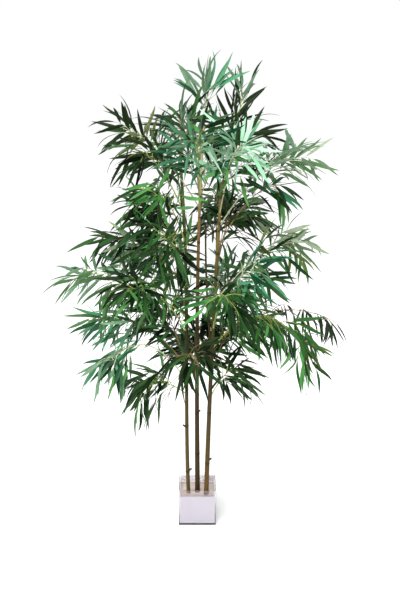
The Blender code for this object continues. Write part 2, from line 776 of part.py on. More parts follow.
def main() -> None:
    """Builds the planter, the canes, the boughs and the masses of leaves."""
    clear_scene()
    build_cube()
    build_fill()
    skins, rooms = build_canes()
    starts = {branch.name: branch_start(branch, skins[branch.cane]) for branch in BRANCHES}
    stems = {branch.name: stem_of(branch, starts[branch.name]) for branch in BRANCHES}
    build_masses(rooms + build_boughs(starts), stems)


main()
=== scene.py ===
"""The finished look of an artificial bamboo tree in a clear cube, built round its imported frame.

Cane poles stand in a cube of clear acrylic filled with white plaster. Wrapped wires arch out of the
canes, carry twigs on alternate sides, and the twigs carry narrow fabric leaves in the same way.
Sizes are in metres, angles in degrees. Each class below makes one sub-assembly and dresses it.
"""

import logging
import math
import random
from dataclasses import dataclass, field
from enum import Enum
from typing import Any

import bmesh
import bpy
import numpy as np
from mathutils import Matrix, Vector


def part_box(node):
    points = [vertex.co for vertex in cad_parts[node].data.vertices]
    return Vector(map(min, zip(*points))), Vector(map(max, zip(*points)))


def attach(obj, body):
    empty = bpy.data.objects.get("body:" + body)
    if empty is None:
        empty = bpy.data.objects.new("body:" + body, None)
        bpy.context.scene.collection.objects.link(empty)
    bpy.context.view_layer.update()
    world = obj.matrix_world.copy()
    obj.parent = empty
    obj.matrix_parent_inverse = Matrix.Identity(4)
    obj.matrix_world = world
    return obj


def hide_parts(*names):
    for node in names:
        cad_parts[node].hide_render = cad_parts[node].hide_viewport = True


BODY = "root"
UP = Vector((0.0, 0.0, 1.0))
NEARLY_UPRIGHT = 0.1  # sine of the angle to the vertical within which a direction counts as upright

Point = tuple[float, float, float]
Colour = tuple[float, float, float]
Mark = tuple[float, float, float]  # what a vertex carries for the nodes of its material
Profile = tuple[tuple[float, float, float], ...]

log = logging.getLogger("bamboo_tree")


# ---------------------------------------------------------------------------------------------
# Shader nodes


class Signal:
    """A shader socket. Arithmetic on signals that carry numbers adds Math nodes."""

    def __init__(self, net: "Net", socket: bpy.types.NodeSocket) -> None:
        """Args: net: the tree that it belongs to. socket: an output in that tree."""
        self.net = net
        self.socket = socket

    def _math(self, operation: str, first: Any, second: Any) -> "Signal":
        """A Math node of two inputs."""
        return self.net.node("ShaderNodeMath", {"operation": operation}, {0: first, 1: second})

    def __add__(self, other: Any) -> "Signal":
        """self + other."""
        return self._math("ADD", self, other)

    __radd__ = __add__

    def __sub__(self, other: Any) -> "Signal":
        """self - other."""
        return self._math("SUBTRACT", self, other)

    def __rsub__(self, other: Any) -> "Signal":
        """other - self."""
        return self._math("SUBTRACT", other, self)

    def __mul__(self, other: Any) -> "Signal":
        """self * other."""
        return self._math("MULTIPLY", self, other)

    __rmul__ = __mul__

    def at_most(self, other: Any) -> "Signal":
        """The smaller of self and other."""
        return self._math("MINIMUM", self, other)

    def at_least(self, other: Any) -> "Signal":
        """The larger of self and other."""
        return self._math("MAXIMUM", self, other)

    def held(self) -> "Signal":
        """self, held between 0 and 1."""
        return self.at_least(0.0).at_most(1.0)


class Net:
    """The node tree of one material or world."""

    colour_mix = {"factor": 0, "first": 6, "second": 7, "result": 2}  # a Mix node's sockets for colours

    def __init__(self, owner: bpy.types.Material | bpy.types.World) -> None:
        """Args: owner: the material or world."""
        owner.use_nodes = True
        self.owner = owner
        self.tree = owner.node_tree

    def node(
        self,
        kind: str,
        settings: dict[str, Any] | None = None,
        inputs: dict[str | int, Any] | None = None,
        output: str | int = 0,
    ) -> Signal:
        """Adds a node.

        Args:
            kind: its type.
            settings: its properties, set first. `stops` is a ramp's list of (place, colour).
            inputs: the value or the signal of each socket.
            output: the output that is wanted.

        Returns:
            That output.
        """
        made = self.tree.nodes.new(kind)
        for key, value in (settings or {}).items():
            if key == "stops":
                ramp = made.color_ramp
                while len(ramp.elements) < len(value):
                    ramp.elements.new(1.0)
                for element, (place, colour) in zip(ramp.elements, value):
                    element.position = place
                    element.color = (*colour, 1.0)
            else:
                setattr(made, key, value)
        for key, value in (inputs or {}).items():
            self.feed(made.inputs[key], value)
        return Signal(self, made.outputs[output])

    def feed(self, socket: bpy.types.NodeSocket, value: Any) -> None:
        """Links a signal to a socket, or sets the socket's own value."""
        if isinstance(value, Signal):
            self.tree.links.new(value.socket, socket)
        elif isinstance(value, tuple) and socket.type == "RGBA" and len(value) == 3:
            socket.default_value = (*value, 1.0)
        else:
            socket.default_value = value

    def mark(self, name: str, part: str) -> Signal:
        """One part, X, Y or Z, of a vector that the mesh carries."""
        vector = self.node("ShaderNodeAttribute", {"attribute_name": name}, output="Vector")
        return self.node("ShaderNodeSeparateXYZ", inputs={0: vector}, output=part)

    def place(self) -> Signal:
        """A place on the object."""
        return self.node("ShaderNodeTexCoord", output="Object")

    def vector(self, x: Any, y: Any, z: Any) -> Signal:
        """A vector from three numbers or signals."""
        return self.node("ShaderNodeCombineXYZ", inputs={"X": x, "Y": y, "Z": z})

    def noise(self, where: Signal, scale: float, detail: float = 2.0, rough: float = 0.5) -> Signal:
        """Noise between 0 and 1."""
        inputs = {"Vector": where, "Scale": scale, "Detail": detail, "Roughness": rough}
        return self.node("ShaderNodeTexNoise", inputs=inputs, output="Fac")

    def ramp(self, factor: Signal, *stops: tuple[float, Colour]) -> Signal:
        """A colour that runs through stops."""
        return self.node("ShaderNodeValToRGB", {"stops": list(stops)}, {"Fac": factor}, "Color")

    def band(self, value: Signal, low: float, high: float, start: float = 0.0, end: float = 1.0) -> Signal:
        """A number that goes from start to end, smoothly, as a value goes from low to high."""
        inputs = {"Value": value, "From Min": low, "From Max": high, "To Min": start, "To Max": end}
        return self.node("ShaderNodeMapRange", {"interpolation_type": "SMOOTHSTEP"}, inputs)

    def mix(self, factor: Any, first: Any, second: Any) -> Signal:
        """Two colours mixed."""
        at = self.colour_mix
        inputs = {at["factor"]: factor, at["first"]: first, at["second"]: second}
        return self.node("ShaderNodeMix", {"data_type": "RGBA"}, inputs, at["result"])

    def bump(self, height: Signal, strength: float, distance: float) -> Signal:
        """A normal that a height field tilts."""
        inputs = {"Strength": strength, "Distance": distance, "Height": height}
        return self.node("ShaderNodeBump", inputs=inputs, output="Normal")

    def finish(self, **sockets: Any) -> bpy.types.Material:
        """Feeds the Principled shader's sockets, named with _ for a space, and gives the material."""
        shader = self.tree.nodes["Principled BSDF"]
        for name, value in sockets.items():
            self.feed(shader.inputs[name.replace("_", " ")], value)
        return self.owner


# ---------------------------------------------------------------------------------------------
# Finishes. In each, `polish` and `wear` are how much smoother and rougher than `roughness` it is in
# places, `relief` is the strength of its bump and a depth is the bump's height in metres. A scale
# is how fine a pattern is, and a cover, weight or paleness how much of it shows.


@dataclass(frozen=True)
class LeafFabric:
    """Printed polyester leaf cloth: a deep and a light dye, and the paler back of the cloth.

    Its mesh carries `leaf` (the leaf's own shade, the share of its length, and the distance from its
    rib as a share of half its width) and `side` (1 on the back).
    """

    name: str
    deep: Colour
    light: Colour
    back: Colour
    roughness: float = 0.42
    shade_weight: float = 1.5
    cloud_weight: float = 0.45
    darkening: float = 0.60
    cloud_scale: float = 38.0
    rib_width: float = 0.16
    neck_length: float = 0.16
    rib_paleness: float = 0.30
    neck_paleness: float = 0.65
    back_cover: float = 0.8
    veins_aside: float = 9.0
    veins_along: float = 0.6
    veins_apart: float = 50.0  # how far apart two leaves lie in the noise of their veins
    vein_depth: float = 0.0004
    relief: float = 0.25
    polish: float = 0.06
    wear: float = 0.08
    specular: float = 0.08

    def material(self) -> bpy.types.Material:
        """The leaf's material: each leaf its own shade, veins along it, a paler rib, neck and back."""
        net = Net(bpy.data.materials.new(f"leaf_{self.name}"))
        shade = net.mark("leaf", "X")
        along = net.mark("leaf", "Y")
        aside = net.mark("leaf", "Z")
        back = net.mark("side", "X")
        cloud = net.noise(net.place(), self.cloud_scale, 3.0)
        tone = (shade * self.shade_weight + cloud * self.cloud_weight - self.darkening).held()
        dye = net.mix(tone, self.deep, self.light)
        rib = 1.0 - net.band(aside, 0.0, self.rib_width)
        neck = 1.0 - net.band(along, 0.0, self.neck_length)
        dye = net.mix((rib * self.rib_paleness).at_least(neck * self.neck_paleness), dye, self.light)
        dye = net.mix(back * self.back_cover, dye, self.back)
        weave = net.vector(aside * self.veins_aside, along * self.veins_along, shade * self.veins_apart)
        veins = net.noise(weave, 4.0, 1.0)
        return net.finish(
            Base_Color=dye,
            Roughness=net.band(cloud, 0.2, 0.8, self.roughness - self.polish, self.roughness + self.wear),
            Specular_IOR_Level=self.specular,
            Normal=net.bump(veins, self.relief, self.vein_depth),
        )


@dataclass(frozen=True)
class Wrapping:
    """Paper or soft plastic wound round a wire.

    Its mesh carries `wood`: the length run along the wire, how far round it from one side to the
    other, and 1 at its knots.
    """

    name: str
    pale: Colour
    dark: Colour
    roughness: float = 0.6
    winding: float = 1400.0  # radians of the winding to a metre of wire
    winding_round: float = 6.283  # radians of the winding to the far side of the wire
    patch_scale: Point = (60.0, 2.0, 3.0)  # along the wire, round it and at its knots
    patch_weight: float = 1.3
    knot_weight: float = 0.35
    lightening: float = 0.25
    winding_height: float = 0.5  # over the height of the patches
    winding_depth: float = 0.0003
    relief: float = 0.35

    def material(self) -> bpy.types.Material:
        """The wire's material: a winding up the wire, darker patches and dull knots."""
        net = Net(bpy.data.materials.new(f"wrapping_{self.name}"))
        along = net.mark("wood", "X")
        turn = net.mark("wood", "Y")
        knot = net.mark("wood", "Z")
        angle = along * self.winding + turn * self.winding_round
        wave = net.node("ShaderNodeMath", {"operation": "SINE"}, {0: angle})
        run, round_it, knots = self.patch_scale
        patch = net.noise(net.vector(along * run, turn * round_it, knot * knots), 1.0, 3.0)
        tone = (patch * self.patch_weight - self.lightening + knot * self.knot_weight).held()
        return net.finish(
            Base_Color=net.mix(tone, self.pale, self.dark),
            Roughness=self.roughness,
            Normal=net.bump(wave * self.winding_height + patch, self.relief, self.winding_depth),
        )


@dataclass(frozen=True)
class CaneSkin:
    """The skin of a natural cane, given as colours up the cane.

    Its mesh carries `cane`: the share of the cane's height, how far round it from one side to the
    other, and its darkness at its joints.
    """

    name: str
    climb: tuple[tuple[float, Colour], ...]
    joint: Colour
    streak: Colour
    roughness: float = 0.42
    wander_scale: float = 7.0
    wander_reach: float = 0.12  # how far the colours stray up and down, as a share of the height
    grain_across: float = 7.0
    grain_along: float = 5.0
    grain_scale: float = 4.0
    speck_scale: float = 420.0
    speck_height: float = 0.3  # over the height of the grain
    streak_cover: float = 0.55
    speck_cover: float = 0.5
    joint_cover: float = 0.85
    grain_depth: float = 0.0005
    relief: float = 0.3
    polish: float = 0.08
    wear: float = 0.14
    specular: float = 0.12

    def material(self) -> bpy.types.Material:
        """The cane's material: colours by height, streaks along the grain, dark joints and specks."""
        net = Net(bpy.data.materials.new(f"skin_{self.name}"))
        rise = net.mark("cane", "X")
        turn = net.mark("cane", "Y")
        joint = net.mark("cane", "Z")
        place = net.place()
        wander = net.noise(place, self.wander_scale)
        skin = net.ramp(rise + (wander - 0.5) * self.wander_reach, *self.climb)
        weave = net.vector(turn * self.grain_across, rise * self.grain_along, wander)
        grain = net.noise(weave, self.grain_scale, 4.0, 0.6)
        skin = net.mix(net.band(grain, 0.45, 0.75) * self.streak_cover, skin, self.streak)
        specks = net.noise(place, self.speck_scale)
        skin = net.mix(net.band(specks, 0.62, 0.72) * self.speck_cover, skin, self.joint)
        skin = net.mix(joint * self.joint_cover, skin, self.joint)
        return net.finish(
            Base_Color=skin,
            Roughness=net.band(grain, 0.3, 0.7, self.roughness - self.polish, self.roughness + self.wear),
            Specular_IOR_Level=self.specular,
            Normal=net.bump(grain + specks * self.speck_height, self.relief, self.grain_depth),
        )


@dataclass(frozen=True)
class Acrylic:
    """Clear, polished sheet."""

    tint: Colour
    roughness: float
    refraction: float
    clarity: float
    smear_scale: float = 26.0
    smear: float = 0.02  # how much rougher it is where it is smeared

    def material(self) -> bpy.types.Material:
        """The cube's material: clear, with faint smears on its polish."""
        net = Net(bpy.data.materials.new("clear_acrylic"))
        smears = net.noise(net.place(), self.smear_scale, 3.0)
        return net.finish(
            Base_Color=self.tint,
            Roughness=net.band(smears, 0.45, 0.8, self.roughness, self.roughness + self.smear),
            IOR=self.refraction,
            Transmission_Weight=self.clarity,
        )


@dataclass(frozen=True)
class Plaster:
    """Cast plaster, poured and left as it set. Its mesh carries `plaster`: how damp it is."""

    white: Colour
    stain: Colour
    roughness: float
    cloud_scale: float = 22.0
    pit_scale: float = 260.0
    pit_depth: float = 0.0006
    cloud_height: float = 0.6  # over the height of the pits
    relief: float = 0.3
    even_stain: float = 0.45
    cloudy_stain: float = 0.9

    def material(self) -> bpy.types.Material:
        """The fill's material: white with pits, and stained on its top, most round the canes."""
        net = Net(bpy.data.materials.new("white_plaster"))
        damp = net.mark("plaster", "X")
        place = net.place()
        cloud = net.noise(place, self.cloud_scale, 4.0, 0.6)
        pits = net.noise(place, self.pit_scale, 3.0, 0.6)
        stain = (damp * (self.even_stain + cloud * self.cloudy_stain)).at_most(1.0)
        return net.finish(
            Base_Color=net.mix(stain, self.white, self.stain),
            Roughness=self.roughness,
            Normal=net.bump(pits + cloud * self.cloud_height, self.relief, self.pit_depth),
        )


@dataclass(frozen=True)
class Haze:
    """A thin film that the plaster left where it was poured. Its mesh carries `film`: how thick it is."""

    colour: Colour
    cover: float
    roughness: float
    patch_scale: float = 34.0
    patchiness: float = 0.4  # how far the cover strays to either side, as a share of it

    def material(self) -> bpy.types.Material:
        """The film's material: patchy, and mostly clear."""
        net = Net(bpy.data.materials.new("plaster_haze"))
        patch = net.noise(net.place(), self.patch_scale, 3.0)
        least, most = self.cover * (1 - self.patchiness), self.cover * (1 + self.patchiness)
        cover = net.band(patch, 0.3, 0.7, least, most) * net.mark("film", "X")
        return net.finish(Base_Color=self.colour, Roughness=self.roughness, Alpha=cover)


class Tint(Enum):
    """The dyes of the leaves: deep, light and back. Mint and grey are painted sheen, and slate is partly
    painted sheen.
    """

    BLACK = LeafFabric("black_green", (0.002, 0.005, 0.001), (0.013, 0.028, 0.007), (0.022, 0.040, 0.015))
    DARK = LeafFabric("dark_green", (0.002, 0.009, 0.002), (0.024, 0.090, 0.018), (0.036, 0.086, 0.028))
    MID = LeafFabric("mid_green", (0.003, 0.022, 0.004), (0.080, 0.255, 0.064), (0.090, 0.200, 0.072))
    BRIGHT = LeafFabric("bright_green", (0.008, 0.075, 0.014), (0.090, 0.320, 0.080), (0.130, 0.330, 0.110))
    BLUE = LeafFabric("blue_green", (0.004, 0.044, 0.016), (0.068, 0.260, 0.125), (0.100, 0.260, 0.140))
    # Slate: a grey-green dye, lightened in part as painted sheen of leaves that catch the lamps.
    SLATE_AND_SHEEN = LeafFabric("slate_green_and_sheen", (0.012, 0.055, 0.022), (0.170, 0.330, 0.185), (0.190, 0.320, 0.200))
    # Painted sheen: green leaves that mirror the lamps, dealt out as pale mint and grey dyes.
    MINT_SHEEN = LeafFabric("mint_sheen", (0.080, 0.250, 0.125), (0.380, 0.680, 0.450), (0.450, 0.640, 0.480))
    GREY_SHEEN = LeafFabric("grey_green_sheen", (0.090, 0.140, 0.080), (0.260, 0.340, 0.210), (0.380, 0.460, 0.330))
    OLIVE = LeafFabric("olive_green", (0.030, 0.050, 0.008), (0.130, 0.205, 0.042), (0.280, 0.340, 0.130))


class Wire(Enum):
    """The wrappings of boughs, stems and twigs: pale and dark."""

    LIME = Wrapping("lime", (0.42, 0.50, 0.085), (0.19, 0.24, 0.04))
    PALE = Wrapping("pale", (0.62, 0.66, 0.45), (0.33, 0.40, 0.20))
    BROWN = Wrapping("brown", (0.32, 0.21, 0.08), (0.12, 0.075, 0.03))


OLIVE_SKIN = CaneSkin(
    "olive",
    (
        (0.0, (0.080, 0.056, 0.016)),
        (0.3, (0.058, 0.046, 0.012)),
        (0.5, (0.034, 0.034, 0.008)),
        (0.75, (0.050, 0.070, 0.012)),
        (0.92, (0.120, 0.185, 0.045)),
    ),
    joint=(0.030, 0.020, 0.010),
    streak=(0.045, 0.034, 0.012),
)
DARK_SKIN = CaneSkin(
    "brown",
    (
        (0.0, (0.040, 0.022, 0.007)),
        (0.3, (0.046, 0.027, 0.009)),
        (0.52, (0.044, 0.034, 0.010)),
        (0.64, (0.220, 0.130, 0.036)),
        (0.76, (0.330, 0.205, 0.072)),
        (0.86, (0.620, 0.580, 0.340)),
    ),
    joint=(0.018, 0.010, 0.006),
    streak=(0.030, 0.017, 0.009),
)
GOLDEN_SKIN = CaneSkin(
    "golden",
    (
        (0.0, (0.105, 0.058, 0.014)),
        (0.14, (0.066, 0.042, 0.013)),
        (0.45, (0.056, 0.040, 0.013)),
        (0.65, (0.052, 0.054, 0.014)),
        (0.85, (0.230, 0.160, 0.045)),
    ),
    joint=(0.034, 0.020, 0.009),
    streak=(0.055, 0.036, 0.014),
)
SHADY_SKIN = CaneSkin(
    "shady",
    ((0.0, (0.050, 0.038, 0.014)), (1.0, (0.062, 0.050, 0.022))),
    joint=(0.014, 0.010, 0.006),
    streak=(0.020, 0.015, 0.008),
)
CLEAR = Acrylic(tint=(0.945, 0.925, 0.955), roughness=0.0, refraction=1.49, clarity=0.98)
WHITE = Plaster(white=(0.82, 0.80, 0.855), stain=(0.47, 0.34, 0.27), roughness=0.72)
HAZE = Haze(colour=(0.44, 0.35, 0.36), cover=0.34, roughness=0.6)


# ---------------------------------------------------------------------------------------------
# Meshes


class Stock:
    """Vertices and faces gathered for one piece, with a vector of marks on each vertex and face."""

    def __init__(self, mark: str) -> None:
        """Args: mark: the name of the vector that each vertex carries."""
        self.mark = mark
        self.points: list[np.ndarray] = []
        self.marks: list[np.ndarray] = []
        self.faces: list[list[int]] = []
        self.sides: list[float] = []
        self.count = 0

    def add(
        self,
        points: np.ndarray,
        marks: np.ndarray,
        faces: list[list[int]],
        sides: list[float] | None = None,
    ) -> None:
        """Adds a shape.

        Args:
            points: its vertices.
            marks: a vector for each.
            faces: its faces, as places in points.
            sides: a number for each face, which goes into the `side` vector.
        """
        self.points.append(points)
        self.marks.append(marks)
        self.faces += [[corner + self.count for corner in face] for face in faces]
        self.sides += sides or [0.0] * len(faces)
        self.count += len(points)

    def piece(self, name: str, material: bpy.types.Material, sharp: float) -> bpy.types.Object:
        """The finished object.

        Args:
            name: its name.
            material: what it is made of.
            sharp: the angle over which an edge isn't shaded smooth.

        Returns:
            The object, which rides on the body.
        """
        mesh = bpy.data.meshes.new(name)
        mesh.from_pydata(np.concatenate(self.points).tolist(), [], self.faces)
        marks = mesh.attributes.new(self.mark, "FLOAT_VECTOR", "POINT")
        marks.data.foreach_set("vector", np.concatenate(self.marks).astype(np.float32).ravel())
        if any(self.sides):
            side = np.zeros((len(self.sides), 3), np.float32)
            side[:, 0] = self.sides
            mesh.attributes.new("side", "FLOAT_VECTOR", "FACE").data.foreach_set("vector", side.ravel())
        return finished(name, mesh, material, sharp)


def placed(name: str, content: bpy.types.ID) -> bpy.types.Object:
    """A new object that holds a mesh, a light or a camera, linked to the scene."""
    made = bpy.data.objects.new(name, content)
    bpy.context.scene.collection.objects.link(made)
    return made


def finished(name: str, mesh: bpy.types.Mesh, material: bpy.types.Material, sharp: float) -> bpy.types.Object:
    """A mesh made into a piece.

    Args:
        name: the piece's name.
        mesh: its mesh.
        material: what it is made of.
        sharp: the angle over which an edge isn't shaded smooth.

    Returns:
        The object, which rides on the body.
    """
    mesh.shade_smooth()
    mesh.set_sharp_from_angle(angle=math.radians(sharp))
    mesh.materials.append(material)
    made = placed(name, mesh)
    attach(made, BODY)
    log.info("%s: %d triangles", name, len(mesh.loops) - 2 * len(mesh.polygons))
    return made


def level_across(axis: Vector) -> Vector:
    """The level direction square to an axis, or +X where the axis is upright."""
    across = axis.normalized().cross(UP)
    return across.normalized() if across.length > NEARLY_UPRIGHT else Vector((1.0, 0.0, 0.0))


def add_tube(
    stock: Stock,
    points: list[Vector],
    radii: list[float],
    sides: int,
    marks: list[tuple[float, float]],
) -> None:
    """Adds a closed tube round a line of points.

    Args:
        stock: what it is added to.
        points: the line.
        radii: the tube's radius at each point.
        sides: how many sides it has.
        marks: for each point, the first and the last of the numbers that its vertices carry. The
            middle one is how far round the tube they are.
    """
    across = level_across(points[1] - points[0])
    verts, tags = [], []
    for i, (point, radius, (along, knot)) in enumerate(zip(points, radii, marks)):
        axis = (points[min(i + 1, len(points) - 1)] - points[max(i - 1, 0)]).normalized()
        across = (across - axis * across.dot(axis)).normalized()
        beside = axis.cross(across)
        for k in range(sides):
            angle = 2 * math.pi * k / sides
            verts.append(point + radius * (math.cos(angle) * across + math.sin(angle) * beside))
            tags.append((along, abs(2 * k / sides - 1), knot))
    faces = []
    for ring in range(len(points) - 1):
        for k in range(sides):
            after = (k + 1) % sides
            low, high = ring * sides, (ring + 1) * sides
            faces.append([low + k, low + after, high + after, high + k])
    faces.append(list(range(sides))[::-1])
    faces.append([(len(points) - 1) * sides + k for k in range(sides)])
    stock.add(np.array(verts), np.array(tags), faces)


# ---------------------------------------------------------------------------------------------
# Canes


@dataclass(frozen=True)
class Stub:
    """The cut end of a side shoot, left on a cane."""

    height: float
    azimuth: float
    rise: float
    length: float
    radius: float


@dataclass
class Cane:
    """A natural pole with ridged joints, along a cubic Bezier curve.

    `joint_profile` gives each ring of a joint as its height over the joint, its share of the ridge
    and its darkness. `stub_profile` gives each ring of a stub as shares of the stub's length and
    radius, and its darkness.
    """

    name: str
    path: tuple[Point, Point, Point, Point]
    foot_radius: float
    tip_radius: float
    joint_spacing: float
    skin: CaneSkin
    stubs: tuple[Stub, ...] = ()
    flare: float = 1.14
    flare_height: float = 0.006
    foot_darkness: float = 0.6
    flare_darkness: float = 0.3
    tip_darkness: float = 0.4
    sides: int = 20
    ring_step: float = 0.012
    nearest_rings: float = 0.6  # as a share of ring_step
    unevenness: float = 0.00012
    ridge: float = 0.0011
    joint_first: float = 0.09
    samples: int = 160
    sharp: float = 40.0
    joint_profile: Profile = (
        (-0.0070, 0.00, 0.1),
        (-0.0040, -0.22, 1.0),
        (-0.0018, 0.30, 1.0),
        (0.0, 1.00, 0.6),
        (0.0022, 0.55, 0.9),
        (0.0045, 0.10, 0.8),
        (0.0085, 0.00, 0.1),
    )
    stub_sides: int = 10
    stub_profile: Profile = (
        (0.0, 1.25, 0.5),
        (0.5, 1.1, 0.8),
        (0.62, 1.22, 1.0),
        (0.70, 0.98, 0.9),
        (0.96, 0.9, 0.9),
        (1.0, 0.72, 1.0),
    )
    line: list[Vector] = field(init=False, default_factory=list)

    def __post_init__(self) -> None:
        """Works out points of the cane's middle, from foot to tip."""
        a, b, c, d = (Vector(point) for point in self.path)
        for i in range(self.samples + 1):
            t = i / self.samples
            s = 1.0 - t
            self.line.append(a * s**3 + b * (3 * s * s * t) + c * (3 * s * t * t) + d * t**3)

    @property
    def foot(self) -> float:
        """The height of the cane's foot."""
        return self.path[0][2]

    @property
    def top(self) -> float:
        """The height of the cane's tip."""
        return self.path[-1][2]

    def share(self, height: float) -> float:
        """A height as a share of the way from foot to tip."""
        return (height - self.foot) / (self.top - self.foot)

    def centre(self, height: float) -> Vector:
        """The middle of the cane at a height."""
        for low, high in zip(self.line, self.line[1:]):
            if high.z >= height:
                return low.lerp(high, min(max((height - low.z) / (high.z - low.z), 0.0), 1.0))
        return self.line[-1].copy()

    def radius(self, height: float) -> float:
        """The radius of the cane's smooth length at a height."""
        share = min(max(self.share(height), 0.0), 1.0)
        return self.foot_radius + (self.tip_radius - self.foot_radius) * share

    def rings(self) -> list[tuple[float, float, float]]:
        """(height, radius, darkness) of every ring up the cane."""
        foot_radius = self.radius(self.foot)
        found = {
            self.foot: (foot_radius * self.flare, self.foot_darkness),
            self.top: (self.tip_radius, self.tip_darkness),
            self.foot + self.flare_height: (foot_radius * (1 + 0.5 * (self.flare - 1)), self.flare_darkness),
        }
        joint = self.foot + self.joint_first
        while joint < self.top - self.joint_profile[-1][0]:
            for offset, share, dark in self.joint_profile:
                found[joint + offset] = (self.radius(joint) + share * self.ridge, dark)
            joint += self.joint_spacing
        marked = list(found)
        height = self.foot + self.ring_step
        while height < self.top:
            if min(abs(height - other) for other in marked) > self.ring_step * self.nearest_rings:
                found[height] = (self.radius(height), 0.0)
            height += self.ring_step
        return [(height, *found[height]) for height in sorted(found)]

    def build(self) -> None:
        """Makes the cane as one piece, with its stubs sunk in."""
        stock = Stock("cane")
        rng = random.Random(self.name)
        points, radii, marks = [], [], []
        for height, radius, dark in self.rings():
            points.append(self.centre(height))
            radii.append(radius + rng.uniform(-self.unevenness, self.unevenness))
            marks.append((self.share(height), dark))
        points[0].z, points[-1].z = self.foot, self.top
        add_tube(stock, points, radii, self.sides, marks)
        for stub in self.stubs:
            self.add_stub(stock, stub)
        made = stock.piece(f"{self.name}_jointed", self.skin.material(), self.sharp)
        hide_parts(self.name)

    def add_stub(self, stock: Stock, stub: Stub) -> None:
        """Adds the cut end of a side shoot."""
        azimuth, rise = math.radians(stub.azimuth), math.radians(stub.rise)
        level = math.cos(rise)
        out = Vector((math.cos(azimuth) * level, math.sin(azimuth) * level, math.sin(rise)))
        start = self.centre(stub.height)
        length = self.radius(stub.height) + stub.length
        points = [start + out * length * step for step, _, _ in self.stub_profile]
        radii = [stub.radius * width for _, width, _ in self.stub_profile]
        marks = [(self.share(stub.height), dark) for _, _, dark in self.stub_profile]
        add_tube(stock, points, radii, self.stub_sides, marks)


# ---------------------------------------------------------------------------------------------
# Branches: boughs, stems, twigs and leaves


@dataclass(frozen=True)
class Branch:
    """A bough and its mass of leaves, or a mass alone where `bough` is nought.

    `root` is the height at which it leaves its cane, `tip` the place of its stem's end, `arch` its
    rise above the straight line between them, `bough` the bough's share of that curve, `hang` how far
    the leaves turn down, `fan` how far the leaves at its tip are turned up from lying level, and
    `fineness` how many twigs there are to each main one. Each twig's leaves take one of the tints.
    """

    name: str
    cane: str
    root: float
    tip: Point
    arch: float
    bough: float
    hang: float
    fan: float
    wire: Wire
    tints: tuple[Tint, ...]
    fineness: int = 3


@dataclass(frozen=True)
class Gap:
    """A box of open space through the crown, which only the share `kept` of the leaves may cross."""

    low: Point
    high: Point
    kept: float

    def holds(self, point: Vector) -> bool:
        """Whether a point lies in the gap."""
        return all(low < value < high for low, value, high in zip(self.low, point, self.high))


@dataclass
class Shoot:
    """A tapering centreline: a bough, a stem or a twig."""

    points: list[Vector]
    radii: list[float]

    def length(self) -> float:
        """The length of its line."""
        return sum((after - before).length for before, after in zip(self.points, self.points[1:]))

    def at(self, share: float) -> tuple[Vector, Vector]:
        """The place and direction at a share of its line."""
        spot = share * (len(self.points) - 1)
        i = min(int(spot), len(self.points) - 2)
        step = self.points[i + 1] - self.points[i]
        return self.points[i].lerp(self.points[i + 1], spot - i), step.normalized()


@dataclass(frozen=True)
class Leaf:
    """Where a leaf is rooted, the way it points and faces, its size, and how it curves."""

    root: Vector
    along: Vector
    face: Vector
    length: float
    width: float
    bend: float
    sway: float
    twist: float
    shade: float


